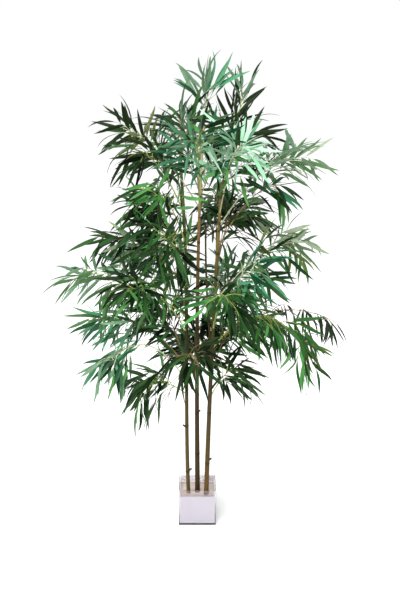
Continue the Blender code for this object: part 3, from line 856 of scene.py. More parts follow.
@dataclass
class Growth:
    """The rule by which twigs leave a stem and leaves leave a twig.

    A `spread` is how far a draw strays to either side. Places on a shoot are shares of its length.
    """

    twig_spacing: float = 0.060
    fewest_twigs: int = 3
    most_twigs: int = 6
    first_twig: float = 0.08
    first_twig_at_cane: float = 0.20
    last_twig: float = 0.86
    twig_length: float = 0.120
    twig_end_length: float = 0.070
    twig_size_spread: float = 0.15
    longest_twig: float = 0.6  # as a share of the stem's length
    fine_twig_size: float = 0.85
    twig_angle: float = 48.0
    twig_angle_spread: float = 12.0
    twig_roll_spread: float = 75.0
    twig_hang: float = 0.3
    twig_arch: float = 0.10  # as a share of the twig's length
    twig_steps: int = 6
    twig_radius: float = 0.0016
    twig_taper: float = 0.0007
    leaf_length: float = 0.131
    leaf_width: float = 0.0208
    leaf_size_spread: float = 0.19
    leaf_width_spread: float = 0.12
    leaf_sink: float = 0.0006
    leaf_angle: float = 40.0
    leaf_angle_spread: float = 13.0
    end_leaf_angle: float = 10.0
    leaf_roll_spread: float = 30.0
    spray_roll_spread: float = 90.0
    fan_spread: float = 20.0
    leaf_face_spread: float = 38.0
    leaf_hang_spread: float = 0.4
    leaf_bend: float = 16.0
    leaf_bend_spread: float = 14.0
    leaf_sway_spread: float = 16.0
    leaf_twist_spread: float = 30.0
    leaf_spacing: float = 0.0175
    first_leaf: float = 0.20
    first_stem_leaf: float = 0.62
    last_side_leaf: float = 0.97
    tries: int = 8

    def spread(self, rng: random.Random, middle: float, width: float) -> float:
        """A seeded draw from a range, given by its middle and half its width."""
        return middle + rng.uniform(-width, width)

    def twig_count(self, stem: Shoot) -> int:
        """How many main twigs a stem has."""
        return min(max(round(stem.length() / self.twig_spacing), self.fewest_twigs), self.most_twigs)

    def turned_out(self, axis: Vector, side: float, angle: float, roll: float) -> Vector:
        """A direction at an angle off an axis, to its left or right, rolled about the axis."""
        aside = Matrix.Rotation(math.radians(roll), 3, axis) @ level_across(axis)
        return math.cos(math.radians(angle)) * axis + math.sin(math.radians(angle)) * side * aside

    def twig(self, branch: Branch, stem: Shoot, step: float, rng: random.Random) -> Shoot:
        """A twig at a step, which is a whole number for the main twigs and between them for finer ones."""
        share = step / (self.twig_count(stem) - 1)
        first = self.first_twig if branch.bough else self.first_twig_at_cane
        start, axis = stem.at(first + (self.last_twig - first) * share)
        side = 1.0 if round(step * branch.fineness) % 2 else -1.0
        angle = self.spread(rng, self.twig_angle, self.twig_angle_spread)
        out = self.turned_out(axis, side, angle, self.spread(rng, 0.0, self.twig_roll_spread))
        out = (out - UP * self.twig_hang * branch.hang).normalized()
        length = self.twig_length + (self.twig_end_length - self.twig_length) * share
        longest = self.longest_twig * stem.length()
        length = min(length, longest) * self.spread(rng, 1.0, self.twig_size_spread)
        if step % 1:
            length *= self.fine_twig_size
        lift = level_across(out).cross(out) * length * self.twig_arch
        steps = [i / self.twig_steps for i in range(self.twig_steps + 1)]
        points = [start + out * length * t + lift * (4 * t * (1 - t)) for t in steps]
        return Shoot(points, [self.twig_radius - self.twig_taper * t for t in steps])

    def leaf(
        self, branch: Branch, shoot: Shoot, share: float, side: float, roll: float, rng: random.Random
    ) -> Leaf:
        """One draw of a leaf.

        Args:
            branch: whose leaf it is.
            shoot: the stem or twig that carries it.
            share: its place on the shoot. At the shoot's end it carries the line on.
            side: 1 or -1, for the side of the shoot that it leaves.
            roll: how far the shoot's leaves are turned about the shoot.
            rng: where the draws come from.

        Returns:
            The leaf.
        """
        root, axis = shoot.at(share)
        if share >= 1.0:
            angle = self.spread(rng, 0.0, self.end_leaf_angle)
        else:
            angle = self.spread(rng, self.leaf_angle, self.leaf_angle_spread)
        along = self.turned_out(axis, side, angle, roll + self.spread(rng, 0.0, self.leaf_roll_spread))
        along = (along - UP * branch.hang * self.spread(rng, 1.0, self.leaf_hang_spread)).normalized()
        normal = axis.cross(self.turned_out(axis, 1.0, 90.0, roll))
        normal = normal if normal.z >= 0.0 else -normal
        turn = math.radians(self.spread(rng, 0.0, self.leaf_face_spread))
        face = Matrix.Rotation(turn, 3, along) @ (normal - along * normal.dot(along)).normalized()
        size = self.spread(rng, 1.0, self.leaf_size_spread)
        return Leaf(
            root - along * self.leaf_sink,
            along,
            face,
            self.leaf_length * size,
            self.leaf_width * self.spread(rng, 1.0, self.leaf_width_spread) * (0.5 + 0.5 * size),
            self.spread(rng, self.leaf_bend, self.leaf_bend_spread),
            self.spread(rng, 0.0, self.leaf_sway_spread),
            self.spread(rng, 0.0, self.leaf_twist_spread),
            rng.random(),
        )


@dataclass
class Crown:
    """Boughs, stems, twigs and leaves of the whole tree."""

    canes: list[Cane]
    branches: tuple[Branch, ...]
    gaps: tuple[Gap, ...]
    rule: Growth = field(default_factory=Growth)
    bough_radius: float = 0.0030
    join_radius: float = 0.0023
    tip_radius: float = 0.0011
    line_steps: int = 26
    stem_start: float = 0.04  # where a stem without a bough leaves its cane, as a share of its curve
    clearance: float = 0.004
    cane_checks: tuple[float, ...] = (0.3, 0.6, 1.0)  # places along a leaf
    gap_checks: int = 8
    limb_sides: int = 9
    twig_sides: int = 6
    knot_every: int = 4  # points of a wire to a knot
    sharp: float = 60.0

    def cane(self, branch: Branch) -> Cane:
        """The cane that a branch leaves."""
        return next(cane for cane in self.canes if cane.name == branch.cane)

    def curve(self, branch: Branch, start: float, end: float, steps: int) -> list[Vector]:
        """Points of a branch's curve, which runs from the middle of its cane to its tip."""
        root = self.cane(branch).centre(branch.root)
        found = []
        for i in range(steps + 1):
            t = start + (end - start) * i / steps
            found.append(root.lerp(Vector(branch.tip), t) + UP * (4 * branch.arch * t * (1 - t)))
        return found

    def limb(self, branch: Branch) -> Shoot:
        """The wire from the cane to the branch's tip, thickest where it is a bough."""
        steps = self.line_steps
        inner = branch.bough or 1.0 / steps
        radii = []
        for i in range(steps + 1):
            t = i / steps
            if t < inner:
                radii.append(self.bough_radius + (self.join_radius - self.bough_radius) * t / inner)
            else:
                taper = (self.tip_radius - self.join_radius) * (t - inner) / (1 - inner)
                radii.append(self.join_radius + taper)
        return Shoot(self.curve(branch, 0.0, 1.0, steps), radii)

    def clear_of_canes(self, leaf: Leaf) -> bool:
        """Whether a leaf's line keeps out of every cane."""
        for share in self.cane_checks:
            point = leaf.root + leaf.along * leaf.length * share
            for cane in self.canes:
                if cane.foot < point.z < cane.top:
                    aside = (point - cane.centre(point.z)).to_2d().length
                    if aside < cane.radius(point.z) + self.clearance:
                        return False
        return True

    def clear_of_gaps(self, leaf: Leaf, luck: float) -> bool:
        """Whether a leaf's line keeps out of the gaps that it has no luck to cross."""
        checks = self.gap_checks
        line = [leaf.root + leaf.along * leaf.length * step / checks for step in range(1, checks + 1)]
        shut = [gap for gap in self.gaps if luck > gap.kept]
        return not any(gap.holds(point) for gap in shut for point in line)

    def leaves_of(
        self, branch: Branch, shoot: Shoot, first: float, roll: float, rng: random.Random
    ) -> list[Leaf]:
        """The leaves of one shoot, from the share `first` of it to its end."""
        count = max(2, round(shoot.length() * (1 - first) / self.rule.leaf_spacing))
        found = []
        for i in range(count + 1):
            share = first + (self.rule.last_side_leaf - first) * i / count if i < count else 1.0
            side = 1.0 if i % 2 else -1.0
            luck = rng.random()
            for _ in range(self.rule.tries):
                leaf = self.rule.leaf(branch, shoot, share, side, roll, rng)
                if self.clear_of_canes(leaf) and self.clear_of_gaps(leaf, luck):
                    found.append(leaf)
                    break
        return found

    def grow(self, branch: Branch) -> tuple[list[Shoot], dict[Tint, list[Leaf]]]:
        """Every twig of a branch, and its leaves by tint."""
        stem = Shoot(self.curve(branch, branch.bough or self.stem_start, 1.0, self.line_steps), [])
        rng = random.Random(f"{branch.name} leaves end")
        fan = self.rule.spread(rng, branch.fan, self.rule.fan_spread)
        leaves = {branch.tints[0]: self.leaves_of(branch, stem, self.rule.first_stem_leaf, fan, rng)}
        twigs = []
        for k in range(branch.fineness * (self.rule.twig_count(stem) - 1) + 1):
            step = k / branch.fineness
            rng = random.Random(f"{branch.name} twig {step:g}")
            twig = self.rule.twig(branch, stem, step, rng)
            twigs.append(twig)
            rng = random.Random(f"{branch.name} leaves {step:g}")
            roll = self.rule.spread(rng, 0.0, self.rule.spray_roll_spread)
            tint = branch.tints[rng.randrange(len(branch.tints))]
            found = self.leaves_of(branch, twig, self.rule.first_leaf, roll, rng)
            leaves.setdefault(tint, []).extend(found)
        return twigs, leaves

    def build(self) -> None:
        """Makes every piece of the crown: the wires by wrapping and the leaves by tint."""
        wires = {wire: Stock("wood") for wire in Wire}
        cutters = {tint: LeafCutter() for tint in Tint}
        for branch in self.branches:
            twigs, leaves = self.grow(branch)
            self.add_wire(wires[branch.wire], self.limb(branch), self.limb_sides)
            for twig in twigs:
                self.add_wire(wires[branch.wire], twig, self.twig_sides)
            for tint, found in leaves.items():
                cutters[tint].leaves += found
        for wire, stock in wires.items():
            piece = stock.piece(f"wires_{wire.value.name}", wire.value.material(), self.sharp)
            boughs = [branch for branch in self.branches if branch.bough and branch.wire is wire]
            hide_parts(*(f"bough_{branch.name}" for branch in boughs))
        for tint, cutter in cutters.items():
            piece = cutter.piece(f"leaves_{tint.value.name}", tint.value.material())
            masses = [branch for branch in self.branches if branch.tints[0] is tint]
            if masses:
                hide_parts(*(f"leaves_{branch.name}" for branch in masses))
        log.info("%d leaves", sum(len(cutter.leaves) for cutter in cutters.values()))

    def add_wire(self, stock: Stock, shoot: Shoot, sides: int) -> None:
        """Adds one wire, closed at both ends."""
        marks, run = [], 0.0
        for i, point in enumerate(shoot.points):
            run += (point - shoot.points[i - 1]).length if i else 0.0
            marks.append((run, 0.0 if i % self.knot_every else 1.0))
        add_tube(stock, shoot.points, shoot.radii, sides, marks)


@dataclass
class LeafCutter:
    """Cuts leaves to one outline and curves them, all at once.

    A leaf has a ring of four vertices at each station, which are shares of its length, and one at its
    tip: two edges, the rib between them, and the rib's underside.
    """

    leaves: list[Leaf] = field(default_factory=list)
    stations: tuple[float, ...] = (0.0, 0.05, 0.12, 0.24, 0.38, 0.52, 0.66, 0.80, 0.92)
    neck: float = 0.05
    neck_width: float = 0.11
    neck_power: float = 0.62  # the lower, the sooner a leaf widens past its neck
    tip_power: float = 0.95  # the higher, the finer its tip
    widest: float = 0.5205  # what the outline's formula comes to at its widest
    thickness: float = 0.0006
    thinnest: float = 0.0003
    fold: float = 0.16
    first_bend: float = 0.25
    last_bend: float = 1.8
    bend_delay: float = 1.4
    sway_turn: float = 4.4
    sway_start: float = 0.6
    twist_start: float = 0.3
    sharp: float = 50.0

    def half_widths(self) -> np.ndarray:
        """Half the outline's width at each station, as a share of the widest."""
        t = np.array(self.stations)
        s = np.clip((t - self.neck) / (1 - self.neck), 0, 1)
        outline = s**self.neck_power * (1 - s) ** self.tip_power
        return np.maximum(outline / self.widest, self.neck_width)

    def rings(self) -> tuple[np.ndarray, np.ndarray]:
        """The rings of every leaf as [leaf, station, vertex], and the tip of every leaf."""
        t = np.array([*self.stations, 1.0])
        root = np.array([leaf.root for leaf in self.leaves])
        along = np.array([leaf.along for leaf in self.leaves])
        across = np.array([leaf.along.cross(leaf.face).normalized() for leaf in self.leaves])
        face = np.cross(across, along)
        length, width, bend, sway, twist = np.array(
            [[leaf.length, leaf.width, leaf.bend, leaf.sway, leaf.twist] for leaf in self.leaves]
        ).T[:, :, None]
        pitch = -np.radians(bend) * (t**self.bend_delay * self.last_bend - self.first_bend)
        yaw = np.radians(sway) * np.sin(t * self.sway_turn - self.sway_start)
        step = (
            (np.cos(pitch) * np.cos(yaw))[..., None] * along[:, None]
            + (np.sin(pitch) * np.cos(yaw))[..., None] * face[:, None]
            + np.sin(yaw)[..., None] * across[:, None]
        )
        middle = (step[:, 1:] + step[:, :-1]) / 2 * (np.diff(t) * length)[..., None]
        run = np.concatenate([np.zeros_like(root)[:, None], np.cumsum(middle, axis=1)], axis=1)
        line = root[:, None] + run
        roll = np.radians(twist) * (t - self.twist_start)
        flat = across[:, None] - step * np.sum(across[:, None] * step, axis=2, keepdims=True)
        flat /= np.linalg.norm(flat, axis=2, keepdims=True)
        up = np.cross(flat, step)
        aside = np.cos(roll)[..., None] * flat + np.sin(roll)[..., None] * up
        up = np.cross(aside, step)
        half = (self.half_widths() * width / 2)[..., None]
        line, tip, aside, up = line[:, :-1], line[:, -1:], aside[:, :-1], up[:, :-1]
        edge = aside * half
        raised = up * half * self.fold
        below = up * self.thickness * np.minimum(half / half.max(), 1.0) + up * self.thinnest
        return np.stack([line - edge + raised, line, line + edge + raised, line - below], axis=2), tip

    def faces(self) -> tuple[list[list[int]], list[float]]:
        """One leaf's faces, and for each 1 if it is on the back of the cloth."""
        faces, sides = [], []
        last = (len(self.stations) - 1) * 4
        for low in range(0, last, 4):
            for k in range(4):
                after = (k + 1) % 4
                faces.append([low + k, low + after, low + 4 + after, low + 4 + k])
                sides.append(0.0 if k < 2 else 1.0)
        for k in range(4):
            faces.append([last + k, last + (k + 1) % 4, last + 4])
            sides.append(0.0 if k < 2 else 1.0)
        faces.append([3, 2, 1, 0])
        sides.append(0.0)
        return faces, sides

    def piece(self, name: str, material: bpy.types.Material) -> bpy.types.Object:
        """All the leaves as one piece, of a name and a material."""
        rings, tip = self.rings()
        count, rows = rings.shape[:2]
        points = np.concatenate([rings.reshape(count, rows * 4, 3), tip], axis=1)
        marks = np.zeros_like(points)
        marks[..., 0] = np.array([leaf.shade for leaf in self.leaves])[:, None]
        marks[..., 1] = [*np.repeat(self.stations, 4), 1.0]
        marks[..., 2] = [*np.tile([1.0, 0.0, 1.0, 0.0], rows), 0.0]
        faces, sides = self.faces()
        stock = Stock("leaf")
        for leaf_points, leaf_marks in zip(points, marks):
            stock.add(leaf_points, leaf_marks, faces, sides)
        return stock.piece(name, material, self.sharp)


# ---------------------------------------------------------------------------------------------
# Planter


@dataclass
class Planter:
    """The open cube of clear acrylic and the plaster cast in it."""

    wall: float = 0.005
    floor: float = 0.006
    edge: float = 0.0009
    edge_segments: int = 3
    cube_sharp: float = 10.0
    gap: float = 0.0003
    fill_steps: int = 72
    fill_sharp: float = 40.0
    wave_count: int = 7
    longest_wave: float = 20.0  # radians to a metre
    shortest_wave: float = 130.0
    wave_phase: float = 6.28  # a turn, in radians
    wave_height: float = 0.006
    level_rim: float = 1 / 12  # the share of the fill's side over which it levels out to its rim
    collar: float = 0.0016
    collar_reach: float = 0.009
    collar_steepness: float = 3.0
    top_damp: float = 0.75
    film_margin: float = 0.0012
    film_shares: tuple[float, ...] = (0.15, 0.15, 1.0, 1.0)  # thin at the front, full at the back
    film_sharp: float = 30.0

    def build_cube(self) -> None:
        """Makes the cube: a block with its top inset and pushed down, then every edge rounded."""
        low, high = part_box("glass_cube")
        size, middle = high - low, (high + low) / 2
        shape = bmesh.new()
        scale = Matrix.Diagonal((*size, 1.0))
        bmesh.ops.create_cube(shape, size=1.0, matrix=Matrix.Translation(middle) @ scale)
        top = max(shape.faces, key=lambda face: face.calc_center_median().z)
        bmesh.ops.inset_region(shape, faces=[top], thickness=self.wall)
        pushed = bmesh.ops.extrude_discrete_faces(shape, faces=[top])["faces"][0]
        for corner in pushed.verts:
            corner.co.z = low.z + self.floor
        edges, segments = shape.edges[:], self.edge_segments
        bmesh.ops.bevel(shape, geom=edges, offset=self.edge, segments=segments, profile=0.5, affect="EDGES")
        mesh = bpy.data.meshes.new("glass_cube_polished")
        shape.to_mesh(mesh)
        shape.free()
        made = finished("glass_cube_polished", mesh, CLEAR.material(), self.cube_sharp)
        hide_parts("glass_cube")

    def fill_top(self, canes: list[Cane]) -> tuple[list[Point], list[Mark]]:
        """The grid of the fill's top, a little uneven and drawn up round each cane, and its marks."""
        low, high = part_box("plaster_fill")
        steps = self.fill_steps
        rng = random.Random("plaster")
        waves = [
            (
                rng.uniform(self.longest_wave, self.shortest_wave),
                rng.uniform(0, self.wave_phase),
                rng.uniform(0, self.wave_phase),
            )
            for _ in range(self.wave_count)
        ]
        feet = [cane for cane in canes if cane.foot < high.z + self.gap * 2]
        verts, marks = [], []
        for j in range(steps + 1):
            for i in range(steps + 1):
                x = low.x + (high.x - low.x) * i / steps
                y = low.y + (high.y - low.y) * j / steps
                lift = sum(math.sin(k * x + a) * math.sin(k * y + b) / k for k, a, b in waves)
                lift *= self.wave_height
                damp = self.top_damp
                for cane in feet:
                    foot_x, foot_y, _ = cane.path[0]
                    away = math.hypot(x - foot_x, y - foot_y) - cane.foot_radius * cane.flare
                    fade = max(away, 0.0) / self.collar_reach
                    lift += self.collar * math.exp(-fade * self.collar_steepness)
                    damp += math.exp(-fade)
                inside = min(i, j, steps - i, steps - j) / steps
                verts.append((x, y, high.z + lift * min(1.0, inside / self.level_rim)))
                marks.append((min(damp, 1.0), 0.0, 0.0))
        return verts, marks

    def build_fill(self, canes: list[Cane]) -> None:
        """Makes the fill: its top, and dry sides with vertices of their own down to a flat floor."""
        verts, marks = self.fill_top(canes)
        steps, row = self.fill_steps, self.fill_steps + 1
        corners = [j * row + i for j in range(steps) for i in range(steps)]
        faces = [[at, at + 1, at + 1 + row, at + row] for at in corners]
        rim = [*range(steps), *range(steps, steps * row + steps, row)]
        rim += [*range(steps * row + steps, steps * row, -1), *range(steps * row, 0, -row)]
        first, around = len(verts), len(rim)
        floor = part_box("plaster_fill")[0].z
        upper = [verts[place] for place in rim]
        verts += upper + [(x, y, floor) for x, y, _ in upper]
        marks += [(0.0, 0.0, 0.0)] * (2 * around)
        for k in range(around):
            at, after = first + k, first + (k + 1) % around
            faces.append([at, at + around, after + around, after])
        faces.append([first + around + k for k in range(around)][::-1])
        stock = Stock("plaster")
        stock.add(np.array(verts), np.array(marks), faces)
        made = stock.piece("plaster_cast", WHITE.material(), self.fill_sharp)
        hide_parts("plaster_fill")

    def build_haze(self) -> None:
        """Makes the film on the inside of the four walls, above the plaster."""
        low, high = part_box("glass_cube")
        bottom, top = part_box("plaster_fill")[1].z + self.film_margin, high.z - self.film_margin
        verts, marks, faces = [], [], []
        for inset in (self.wall + self.gap, self.wall + self.gap * 2):
            left, right = low.x + inset, high.x - inset
            front, back = low.y + inset, high.y - inset
            for height in (bottom, top):
                verts += [(left, front, height), (right, front, height)]
                verts += [(right, back, height), (left, back, height)]
                marks += [(share, 0.0, 0.0) for share in self.film_shares]
        for k in range(4):
            after = (k + 1) % 4
            faces.append([k, after, after + 4, k + 4])
            faces.append([k + 8, k + 12, after + 12, after + 8])
            faces.append([k + 4, after + 4, after + 12, k + 12])
            faces.append([k, k + 8, after + 8, after])
        stock = Stock("film")
        stock.add(np.array(verts), np.array(marks), faces)
        made = stock.piece("plaster_haze", HAZE.material(), self.film_sharp)


# ---------------------------------------------------------------------------------------------
# Studio


@dataclass(frozen=True)
class Softbox:
    """A square lamp: its place, the length of its side and its power."""

    name: str
    place: Point
    size: float
    power: float


@dataclass
class Studio:
    """Camera, soft lights, a white world and a pale floor."""

    eye: Point = (0.011, -3.134, 1.6126)
    tilt_down: float = 12.68
    lens: float = 50.0
    sensor: float = 36.0
    aim: Point = (0.0, 0.0, 0.95)
    lamps: tuple[Softbox, ...] = (
        Softbox("key", (-1.2, -3.3, 3.5), 3.0, 205.0),
        Softbox("back", (0.8, 3.2, 3.0), 2.4, 50.0),
    )
    sun_strength: float = 1.9
    sun_width: float = 60.0
    sun_turn: tuple[float, float] = (12.0, -10.0)
    world_strength: float = 0.65
    backdrop_strength: float = 1.0
    floor_reach: float = 30.0
    floor_colour: Colour = (0.95, 0.95, 0.95)
    floor_roughness: float = 0.9

    def build(self) -> None:
        """Sets up the whole studio."""
        bpy.context.scene.view_settings.view_transform = "Standard"
        self.set_camera()
        self.set_world()
        for lamp in self.lamps:
            self.set_lamp(lamp)
        self.set_sun()
        self.lay_floor()

    def set_camera(self) -> None:
        """The camera, level from side to side and tilted down."""
        camera = bpy.data.cameras.new("camera")
        camera.lens, camera.sensor_width = self.lens, self.sensor
        holder = placed("camera", camera)
        holder.location = self.eye
        holder.rotation_euler = (math.radians(90.0 - self.tilt_down), 0.0, 0.0)
        bpy.context.scene.camera = holder

    def set_world(self) -> None:
        """A white world, which shows brighter than it lights."""
        world = bpy.data.worlds.new("studio")
        net = Net(world)
        seen = net.node("ShaderNodeLightPath", output="Is Camera Ray")
        levels = {"Value": seen, "To Min": self.world_strength, "To Max": self.backdrop_strength}
        backdrop = net.tree.nodes["Background"]
        net.feed(backdrop.inputs["Color"], (1.0, 1.0, 1.0))
        net.feed(backdrop.inputs["Strength"], net.node("ShaderNodeMapRange", inputs=levels))
        bpy.context.scene.world = world

    def set_lamp(self, lamp: Softbox) -> None:
        """A softbox aimed at the middle of the tree."""
        light = bpy.data.lights.new(lamp.name, "AREA")
        light.size, light.energy = lamp.size, lamp.power
        holder = placed(lamp.name, light)
        holder.location = lamp.place
        aim = Vector(self.aim) - Vector(lamp.place)
        holder.rotation_euler = aim.to_track_quat("-Z", "Y").to_euler()

    def set_sun(self) -> None:
        """A broad, soft sun from above."""
        sun = bpy.data.lights.new("sun", "SUN")
        sun.energy, sun.angle = self.sun_strength, math.radians(self.sun_width)
        turn_x, turn_y = self.sun_turn
        placed("sun", sun).rotation_euler = (math.radians(turn_x), math.radians(turn_y), 0.0)

    def lay_floor(self) -> None:
        """The pale floor that the planter stands on."""
        shape = bmesh.new()
        bmesh.ops.create_grid(shape, x_segments=1, y_segments=1, size=self.floor_reach)
        mesh = bpy.data.meshes.new("floor")
        shape.to_mesh(mesh)
        shape.free()
        net = Net(bpy.data.materials.new("pale_floor"))
        mesh.materials.append(net.finish(Base_Color=self.floor_colour, Roughness=self.floor_roughness))
        placed("floor", mesh)


# ---------------------------------------------------------------------------------------------
# The tree's own measures

GROUND = 0.1213  # the height of the canes' flat feet, just over the fill
LEFT, MIDDLE, RIGHT = "cane_left", "cane_middle", "cane_right"


def make_canes() -> list[Cane]:
    """The three poles and the thin shoot beside them."""
    return [
        Cane(
            LEFT,
            ((-0.035, -0.034, GROUND), (-0.052, -0.020, 0.50), (-0.025, 0.010, 0.95), (-0.062, 0.030, 1.42)),
            foot_radius=0.0078,
            tip_radius=0.0058,
            joint_spacing=0.19,
            skin=OLIVE_SKIN,
            stubs=(
                Stub(height=0.213, azimuth=0.0, rise=35.0, length=0.012, radius=0.0036),
                Stub(height=0.393, azimuth=180.0, rise=40.0, length=0.014, radius=0.0034),
                Stub(height=1.405, azimuth=185.0, rise=5.0, length=0.050, radius=0.0042),
            ),
        ),
        Cane(
            MIDDLE,
            ((0.001, -0.024, GROUND), (-0.002, -0.010, 0.60), (-0.006, 0.004, 1.15), (0.028, 0.008, 1.60)),
            foot_radius=0.0100,
            tip_radius=0.0042,
            joint_spacing=0.17,
            joint_first=0.16,
            skin=DARK_SKIN,
            stubs=(Stub(height=0.4515, azimuth=20.0, rise=40.0, length=0.010, radius=0.0030),),
        ),
        Cane(
            RIGHT,
            ((0.036, -0.046, GROUND), (0.046, -0.050, 0.50), (0.066, -0.030, 0.95), (0.092, -0.020, 1.36)),
            foot_radius=0.0096,
            tip_radius=0.0056,
            joint_spacing=0.21,
            joint_first=0.132,
            skin=GOLDEN_SKIN,
            stubs=(Stub(height=0.262, azimuth=10.0, rise=35.0, length=0.012, radius=0.0036),),
        ),
        Cane(
            "cane_thin",
            ((0.0529, -0.0279, 0.74), (0.040, -0.012, 0.86), (0.030, 0.004, 1.03), (0.033, 0.008, 1.20)),
            foot_radius=0.0042,
            tip_radius=0.0036,
            joint_spacing=0.16,
            skin=SHADY_SKIN,
            flare=1.0,
        ),
    ]


LIME, PALE, BROWN = Wire.LIME, Wire.PALE, Wire.BROWN
BLACK, DARK, MID, BRIGHT, BLUE = Tint.BLACK, Tint.DARK, Tint.MID, Tint.BRIGHT, Tint.BLUE
SLATE_AND_SHEEN, MINT_SHEEN, GREY_SHEEN, OLIVE = Tint.SLATE_AND_SHEEN, Tint.MINT_SHEEN, Tint.GREY_SHEEN, Tint.OLIVE

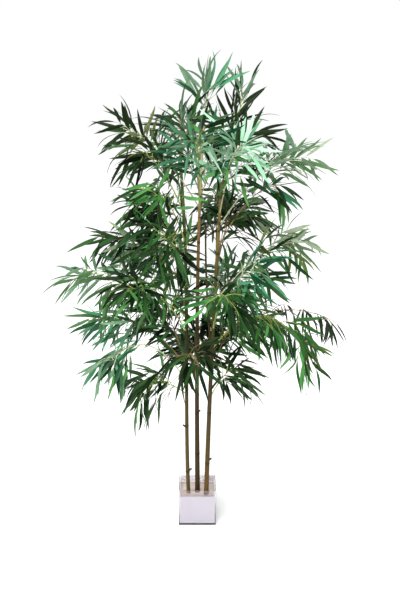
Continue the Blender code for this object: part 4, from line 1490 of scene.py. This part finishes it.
# name, cane, root, tip, arch, bough, hang, fan, wire, tints and, where it differs, fineness
BRANCHES = (
    Branch("top", MIDDLE, 1.60, (0.036, 0.010, 1.705), 0.0, 0.0, -0.35, 90,
           PALE, (SLATE_AND_SHEEN, BLUE, SLATE_AND_SHEEN)),
    Branch("upper_left_far", MIDDLE, 1.26, (-0.275, 0.020, 1.555), 0.05, 0.28, 0.12, 80,
           PALE, (BLACK, OLIVE, DARK, DARK)),
    Branch("upper_left_low", LEFT, 1.24, (-0.215, -0.120, 1.480), 0.05, 0.20, 0.35, 40,
           LIME, (BLACK, DARK, DARK, MID)),
    Branch("upper_left_inner", LEFT, 1.42, (-0.055, -0.020, 1.600), 0.0, 0.0, 0.10, 70,
           BROWN, (SLATE_AND_SHEEN, MID, DARK)),
    Branch("upper_right_inner", MIDDLE, 1.30, (0.185, 0.050, 1.672), 0.02, 0.0, -0.25, 80,
           LIME, (BLACK, DARK, SLATE_AND_SHEEN), 1),
    Branch("upper_right", RIGHT, 1.36, (0.190, -0.050, 1.545), 0.01, 0.0, 0.0, 80,
           BROWN, (BLACK, BLACK, DARK), 2),
    Branch("upper_right_front", RIGHT, 1.24, (0.150, -0.230, 1.490), 0.05, 0.0, 0.20, 20,
           PALE, (MINT_SHEEN, MINT_SHEEN, MID)),
    Branch("upper_front", MIDDLE, 1.26, (0.000, -0.250, 1.530), 0.05, 0.0, 0.15, 20,
           LIME, (SLATE_AND_SHEEN, DARK, MINT_SHEEN, BLUE)),
    Branch("upper_back", MIDDLE, 1.28, (-0.030, 0.260, 1.540), 0.05, 0.20, 0.15, 20,
           BROWN, (SLATE_AND_SHEEN, DARK, MID)),
    Branch("left_high", LEFT, 1.06, (-0.240, 0.000, 1.275), 0.05, 0.0, 0.40, 50,
           LIME, (DARK, MID, BLACK, BLUE), 4),
    Branch("left_high_front", LEFT, 1.13, (-0.150, -0.220, 1.330), 0.05, 0.20, 0.40, 30,
           LIME, (BRIGHT, DARK, DARK, MID)),
    Branch("right_high_far", RIGHT, 1.19, (0.390, 0.000, 1.440), 0.07, 0.30, 0.05, 85,
           PALE, (MID, GREY_SHEEN, DARK, SLATE_AND_SHEEN)),
    Branch("right_high", RIGHT, 1.11, (0.295, -0.150, 1.360), 0.06, 0.20, 0.45, 50,
           BROWN, (DARK, BLUE, MID)),
    Branch("right_high_low", RIGHT, 1.02, (0.160, 0.100, 1.270), 0.05, 0.0, 0.45, 40,
           BROWN, (DARK, DARK, BLACK), 4),
    Branch("back_high", RIGHT, 1.00, (0.080, 0.300, 1.320), 0.06, 0.20, 0.30, 20,
           BROWN, (DARK, BLACK, MID), 4),
    Branch("left_back", LEFT, 0.94, (-0.355, 0.150, 1.110), 0.08, 0.20, 0.30, 40,
           BROWN, (DARK, BLACK, GREY_SHEEN)),
    Branch("front_left", LEFT, 0.96, (-0.130, -0.310, 1.190), 0.06, 0.20, 0.35, 20,
           LIME, (DARK, MID, BLACK), 4),
    Branch("left_far", LEFT, 0.84, (-0.470, -0.020, 1.005), 0.05, 0.26, 0.38, 70,
           LIME, (SLATE_AND_SHEEN, MID, SLATE_AND_SHEEN, MID), 2),
    Branch("left_front", LEFT, 0.78, (-0.260, -0.200, 0.980), 0.07, 0.20, 0.40, 40,
           LIME, (DARK, MID, BLACK), 4),
    Branch("left_inner", LEFT, 0.63, (-0.170, 0.090, 0.835), 0.08, 0.0, 0.35, 40,
           BROWN, (DARK, MID, BLACK), 5),
    Branch("right_mid", RIGHT, 0.90, (0.410, 0.040, 1.125), 0.07, 0.24, 0.35, 75,
           PALE, (GREY_SHEEN, MID, DARK, OLIVE, MID)),
    Branch("right_front", RIGHT, 0.84, (0.230, -0.190, 1.050), 0.06, 0.20, 0.40, 30,
           PALE, (BLUE, DARK, MID), 4),
    Branch("back_left", LEFT, 0.86, (-0.170, 0.320, 1.060), 0.07, 0.20, 0.35, 20,
           BROWN, (DARK, MID), 4),
    Branch("back_right", RIGHT, 0.76, (0.140, 0.340, 0.940), 0.08, 0.20, 0.35, 20,
           BROWN, (DARK, SLATE_AND_SHEEN), 4),
    Branch("front_right", RIGHT, 0.80, (0.110, -0.330, 0.970), 0.07, 0.20, 0.40, 20,
           LIME, (DARK, MID, BRIGHT)),
    Branch("right_low_far", RIGHT, 0.74, (0.550, 0.070, 0.800), 0.09, 0.42, 0.85, 0,
           BROWN, (BLACK, DARK), 1),
    Branch("right_low", RIGHT, 0.72, (0.450, -0.110, 0.665), 0.17, 0.22, 0.65, 60,
           LIME, (MID, DARK, OLIVE, BRIGHT)),
    Branch("right_inner", RIGHT, 0.62, (0.220, 0.160, 0.800), 0.08, 0.0, 0.45, 40,
           BROWN, (DARK, MID), 5),
    Branch("left_low_far", LEFT, 0.64, (-0.410, 0.070, 0.790), 0.09, 0.38, 0.35, 60,
           BROWN, (SLATE_AND_SHEEN, BLUE, MID)),
    Branch("left_low", LEFT, 0.58, (-0.350, -0.100, 0.665), 0.12, 0.42, 0.65, 50,
           PALE, (SLATE_AND_SHEEN, MID, SLATE_AND_SHEEN, BLUE), 4),
    Branch("left_low_inner", LEFT, 0.53, (-0.230, -0.030, 0.545), 0.04, 0.0, 0.65, 50,
           LIME, (DARK, MID, DARK), 5),
    Branch("right_low_inner", RIGHT, 0.52, (0.150, -0.050, 0.645), 0.03, 0.0, 0.45, 50,
           LIME, (DARK, BLACK), 5),
    Branch("front_low", MIDDLE, 0.55, (-0.030, -0.240, 0.755), 0.06, 0.0, 0.50, 20,
           BROWN, (DARK, BLACK)),
    Branch("back_low", MIDDLE, 0.50, (0.000, 0.280, 0.690), 0.09, 0.0, 0.50, 20,
           BROWN, (DARK, BLACK, MID), 7),
)

DEPTH = 0.6  # more than the crown reaches to the front and back

# low and high corners, and the share of leaves that may cross
GAPS = (
    Gap((0.210, -DEPTH, 1.640), (0.400, DEPTH, 1.665), 0.30),
    Gap((-0.042, -DEPTH, 1.17), (-0.004, DEPTH, 1.36), 0.15),
    Gap((0.012, -DEPTH, 1.00), (0.062, DEPTH, 1.14), 0.15),
    Gap((0.032, -DEPTH, 1.28), (0.068, DEPTH, 1.35), 0.20),
    Gap((-0.030, -DEPTH, 0.90), (0.040, 0.0, 1.30), 0.30),
    Gap((-0.100, -DEPTH, 1.28), (-0.045, 0.02, 1.42), 0.30),
    Gap((-0.075, -DEPTH, 0.56), (0.080, -0.05, 0.92), 0.45),
    Gap((-0.270, -DEPTH, 0.67), (-0.160, DEPTH, 0.74), 0.35),
    Gap((0.280, -DEPTH, 0.875), (0.520, DEPTH, 0.925), 0.30),
)


def main() -> None:
    """Builds the planter, the canes, the crown and the studio."""
    logging.basicConfig(level=logging.INFO, format="%(name)s %(message)s")
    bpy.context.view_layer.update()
    canes = make_canes()
    planter = Planter()
    planter.build_cube()
    planter.build_fill(canes)
    planter.build_haze()
    for cane in canes:
        cane.build()
    Crown(canes, BRANCHES, GAPS).build()
    Studio().build()


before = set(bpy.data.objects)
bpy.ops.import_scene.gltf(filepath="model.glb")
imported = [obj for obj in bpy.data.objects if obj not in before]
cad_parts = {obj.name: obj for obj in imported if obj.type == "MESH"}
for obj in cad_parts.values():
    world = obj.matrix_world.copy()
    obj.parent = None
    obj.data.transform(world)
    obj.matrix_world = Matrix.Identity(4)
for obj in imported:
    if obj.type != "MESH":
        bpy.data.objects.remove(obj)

if __name__ == "__main__":
    main()
